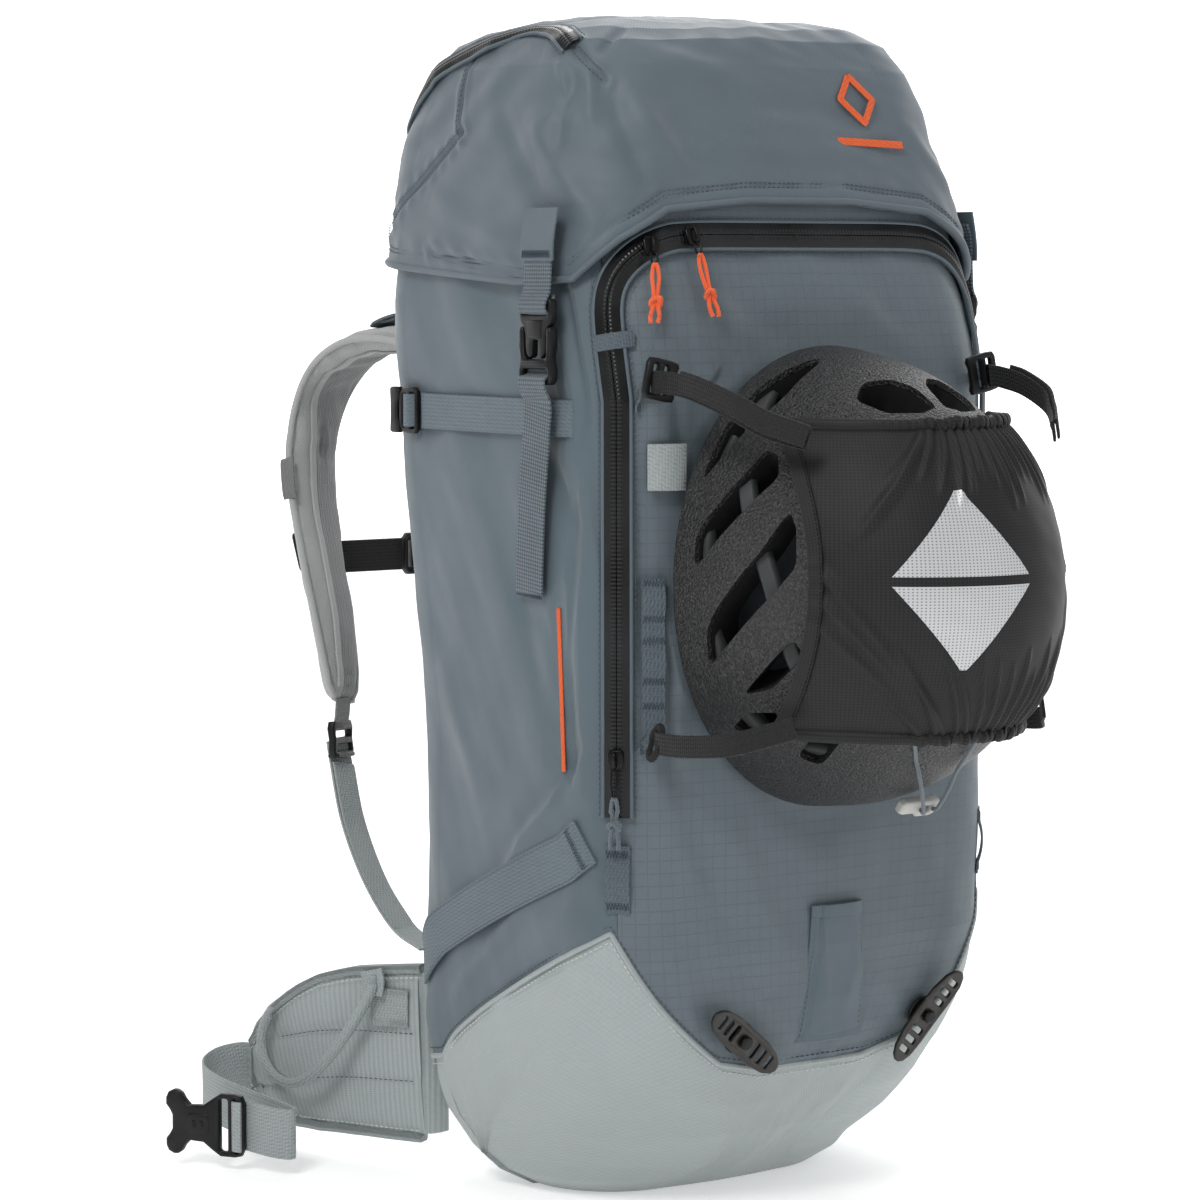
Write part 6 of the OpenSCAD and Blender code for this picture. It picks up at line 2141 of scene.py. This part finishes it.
def sternum():
    y, z = 283, 341
    web = webbing("sternum_webbing_left",
                  [(-95, y - 7.6, z + 1.5), (-89, y - 4.5, z + 0.5), (-76, y - 1.4, z), (-60, y, z),
                   (-20.5, y, z)], (0, 0, 1), 20, 1.4, "black_webbing", 80)
    both(web, "sternum", ["sternum_webbing"])
    clip = flat_plate("sternum_clip_left", [rounded_rect(18, 26, 4), rounded_rect(4, 18, 1.4, 3.4, 0)], 5.6,
                      1.5, "plastic")
    a, b = math.radians(38), math.radians(-24)
    rz = np.array([[math.cos(a), math.sin(a), 0], [-math.sin(a), math.cos(a), 0], [0, 0, 1]])
    rx = np.array([[1, 0, 0], [0, math.cos(b), math.sin(b)], [0, -math.sin(b), math.cos(b)]])
    turned(clip, rz @ rx, (-97, y - 9.5, z + 4))
    both(clip, "sternum", ["sternum_webbing"])
    female = flat_plate("sternum_buckle_body",
                        [[(-20, -9), (-17, -13), (-4, -13), (2, -12), (4, -9), (2.4, -4), (2.4, 4), (4, 9),
                          (2, 12), (-4, 13), (-17, 13), (-20, 9)], rounded_rect(3.6, 17, 1.3, -16, 0)], 7.6,
                        2.0, "plastic")
    male = flat_plate("sternum_buckle_tongue",
                      [[(4.4, -11), (8, -13), (17, -13), (20, -9), (20, 9), (17, 13), (8, 13), (4.4, 11),
                        (4.4, 7), (-5, 6), (-5, -6), (4.4, -7)], rounded_rect(3.6, 17, 1.3, 16, 0)], 5.6,
                      1.5, "plastic")
    whistle = flat_plate("sternum_buckle_grip", [rounded_rect(9, 12, 2.5, -7, 0)], 9.0, 1.3, "plastic")
    turned(join("sternum_buckle_body", [female, male, whistle]), np.eye(3), (0, y, z))
    ride(bpy.data.objects["sternum_buckle_body"], "sternum", ["sternum_buckle"])


harness()
sternum()


# ---- Ice axe toggles and sleeve --------------------------------------------------------------------------
AXE_Z = 103


def axe_basis(turn):
    a, t = math.radians(turn), math.radians(15)
    rows = np.array([[math.cos(a), 0, -math.sin(a)], [0, 1, 0], [math.sin(a), 0, math.cos(a)]])
    tilt = np.array([[1, 0, 0], [0, math.cos(t), math.sin(t)], [0, -math.sin(t), math.cos(t)]])
    return rows @ tilt


def axe_parts():
    y0 = float(look(BAG["front"], AXE_Z)) - 3
    for word, x, turn in (("left", -55, 38), ("right", 74, -54)):
        half = [(0, 8.6), (14, 8.6), (24, 7.0), (29, 4.2), (31, 1.2), (31, 0)]
        outline = half + [(a, -b) for a, b in half[-2::-1]] + [(-a, -b) for a, b in half[1:]] + \
            [(-a, b) for a, b in half[-2:0:-1]]
        holes = [rounded_rect(3.4, 10.6 - abs(c) * 0.12, 1.2, c, 0)
                 for c in (-23, -16.4, -9.8, 9.8, 16.4, 23)]
        holes.append([(2.2 * math.cos(t), 2.2 * math.sin(t))
                      for t in np.linspace(0, 2 * math.pi, 20, endpoint=False)])
        plate = flat_plate(f"axe_toggle_{word}_bar", [outline] + holes, 2.6, 0.8, "gunmetal")
        co = read_points(plate.data)
        co[:, 1] += -1.5 * MM - 1.8 * MM * ((co[:, 0] / (31 * MM)) ** 2)
        write_points(plate.data, co)
        basis = axe_basis(turn)
        base = np.array([x, y0, AXE_Z])
        turned(plate, basis, base + np.array([0, -3.2, 0]) @ axe_basis(0))
        ride(plate, f"axe_{word}", [f"axe_toggle_{word}"])
        ring = swept(f"axe_grommet_{word}",
                     np.array([(7.2 * math.cos(t), 0, 7.2 * math.sin(t))
                               for t in np.linspace(0, 2 * math.pi, 40, endpoint=False)]), (0, 1, 0),
                     round_profile(1, 10) * (1.3, 2.2), "plastic", closed=True)
        disc = flat_plate(f"axe_disc_{word}",
                          [[(8.4 * math.cos(t), 8.4 * math.sin(t))
                            for t in np.linspace(0, 2 * math.pi, 40, endpoint=False)]], 1.6, 0.4, "plastic")
        cord = tube(f"axe_elastic_{word}", [(0, 1.5, 0), (0, -3, 0), (0, -8.3, 0)], 1.9, "black_cord", 24,
                    12, side=(1, 0, 0))
        stop = flat_plate(f"axe_stop_{word}",
                          [[(3.9 * math.cos(t), 3.9 * math.sin(t))
                            for t in np.linspace(0, 2 * math.pi, 24, endpoint=False)]], 2.6, 1.1, "plastic")
        turned(stop, np.eye(3), (0, -8.0, 0))
        piece = turned(join(f"axe_grommet_{word}", [ring, disc, cord, stop]), axe_basis(0), base)
        ride(piece, "bag", ["axe_grommets"])


def sleeve():
    s, t = np.meshgrid(np.linspace(-1, 1, 90), np.linspace(0, 1, 120), indexing="ij")
    z = 95 + 77 * t
    x = 6 + (1 + 20 * s) * (1.55 - z / 250)
    front = look(BAG["front"], z)
    body = -3.4 - 3.6 * (1 - abs(s) ** 3.5) - 1.0 * (1 - t) * (1 - s ** 2)
    d = 0.45 * smooth_noise(x, z, 40, 95) - 1.1 * np.exp(-((s + 0.78 - 0.1 * t) / 0.07) ** 2)
    d += fold(x, z, (-8, 168), (0, 120), 3.5, 1.2) + fold(x, z, (12, 110), (22, 140), 5, 0.9)
    p = np.stack([x, front + body - d, z], -1)
    piece = grid_object("axe_sleeve_fabric", p, np.stack([x, z], -1), "body", thickness=1.3)
    ride(piece, "bag", ["axe_sleeve"])
    for name, column, width in (("mouth", -1, 7), ("foot", 0, 6)):
        edge = p[:, column] + np.array([0, -0.5, -3 if column else 3])
        hem = swept(f"axe_sleeve_{name}", edge, (0, 0, 1), web_profile(width, 1.6), "body")
        ride(hem, "bag")
    for k, row in enumerate((2, -3)):
        line = p[row] + np.array([1.4 if row > 0 else -1.4, -0.7, 0])
        ride(dashes(f"axe_sleeve_stitches_{k}", line, np.array([[0, -1.0, 0]] * len(line)), 2.2, 3.2, 0.28,
                    "thread"), "bag")


axe_parts()
sleeve()


# ---- Inside the bag and under the lid --------------------------------------------------------------------
def collar():
    nu, nz = 420, 50
    u = np.linspace(0, 8, nu, endpoint=False)[:, None]
    t = np.linspace(0, 1, nz)[None, :]
    z = 540 + t * 58
    pull = np.maximum(0, t - 0.35) / 0.65
    off = -3.4 - 26 * pull ** 1.5 + 1.1 * pull * np.sin(u * 20 + 1.3
                                                        * np.sin(u * 7)) + 0.4 * smooth_noise(u * 130, z,
                                                                                              30, 97)
    p = at(BAG, u, z, np.minimum(off, -3.1))
    piece = grid_object("storm_collar_fabric", p, np.stack([arc_length(BAG, u) + 0 * z, z + 0 * u], -1),
                        "body", closed_i=True, thickness=0.9)
    ride(piece, "bag", ["storm_collar"])
    v = np.linspace(0, 8, 400)
    hem = swept("storm_collar_hem", at(BAG, v, 596.5, -29.6 + 1.1 * np.sin(v * 20)), (0, 0, 1),
                round_profile(2.2, 10), "body", closed=False)
    ride(hem, "bag")
    w = np.linspace(2.68, 2.68 + 7.64, 300)
    cord = swept("collar_draw_cord", at(BAG, w, 592, -20.4), (0, 0, 1), round_profile(1.5, 10), "black_cord")
    ride(cord, "bag", ["collar_cord"])
    n = 160
    rim = at(LID, np.linspace(0, 8, n, endpoint=False), 606, -3.5)
    rows = np.stack([np.array([0, 20, 0]) + (rim * (1, 1, 0) - np.array([0, 20, 0])) * k
                     for k in np.linspace(1, 0.02, 40)], 1)
    rows[..., 2] = 605 + 0.7 * smooth_noise(rows[..., 0], rows[..., 1], 60, 98)
    floor = grid_object("lid_floor_fabric", rows, rows[..., :2], "ripstop", closed_i=True, thickness=1.2,
                        caps=[tuple(i * 40 + 39 for i in range(n))])
    ride(floor, "lid", ["lid_floor"])
    a, b = np.meshgrid(np.linspace(1.75, 3.25, 60), np.linspace(175, 530, 80), indexing="ij")
    sheet = grid_object("divider_fabric", at(BAG, a, b, -30 - 0.5 + 0.5 * smooth_noise(a * 130, b, 90, 99)),
                        np.stack([arc_length(BAG, a), b], -1), "ripstop", thickness=0.8)
    ride(sheet, "bag", ["divider_panel"])
    for node, material in (("frame_sheet", "board"), ("frame_stays", "alloy"), ("cord_lock", "plastic"),
                           ("cord_lock_button", "plastic")):
        finish_node(node, material)


collar()
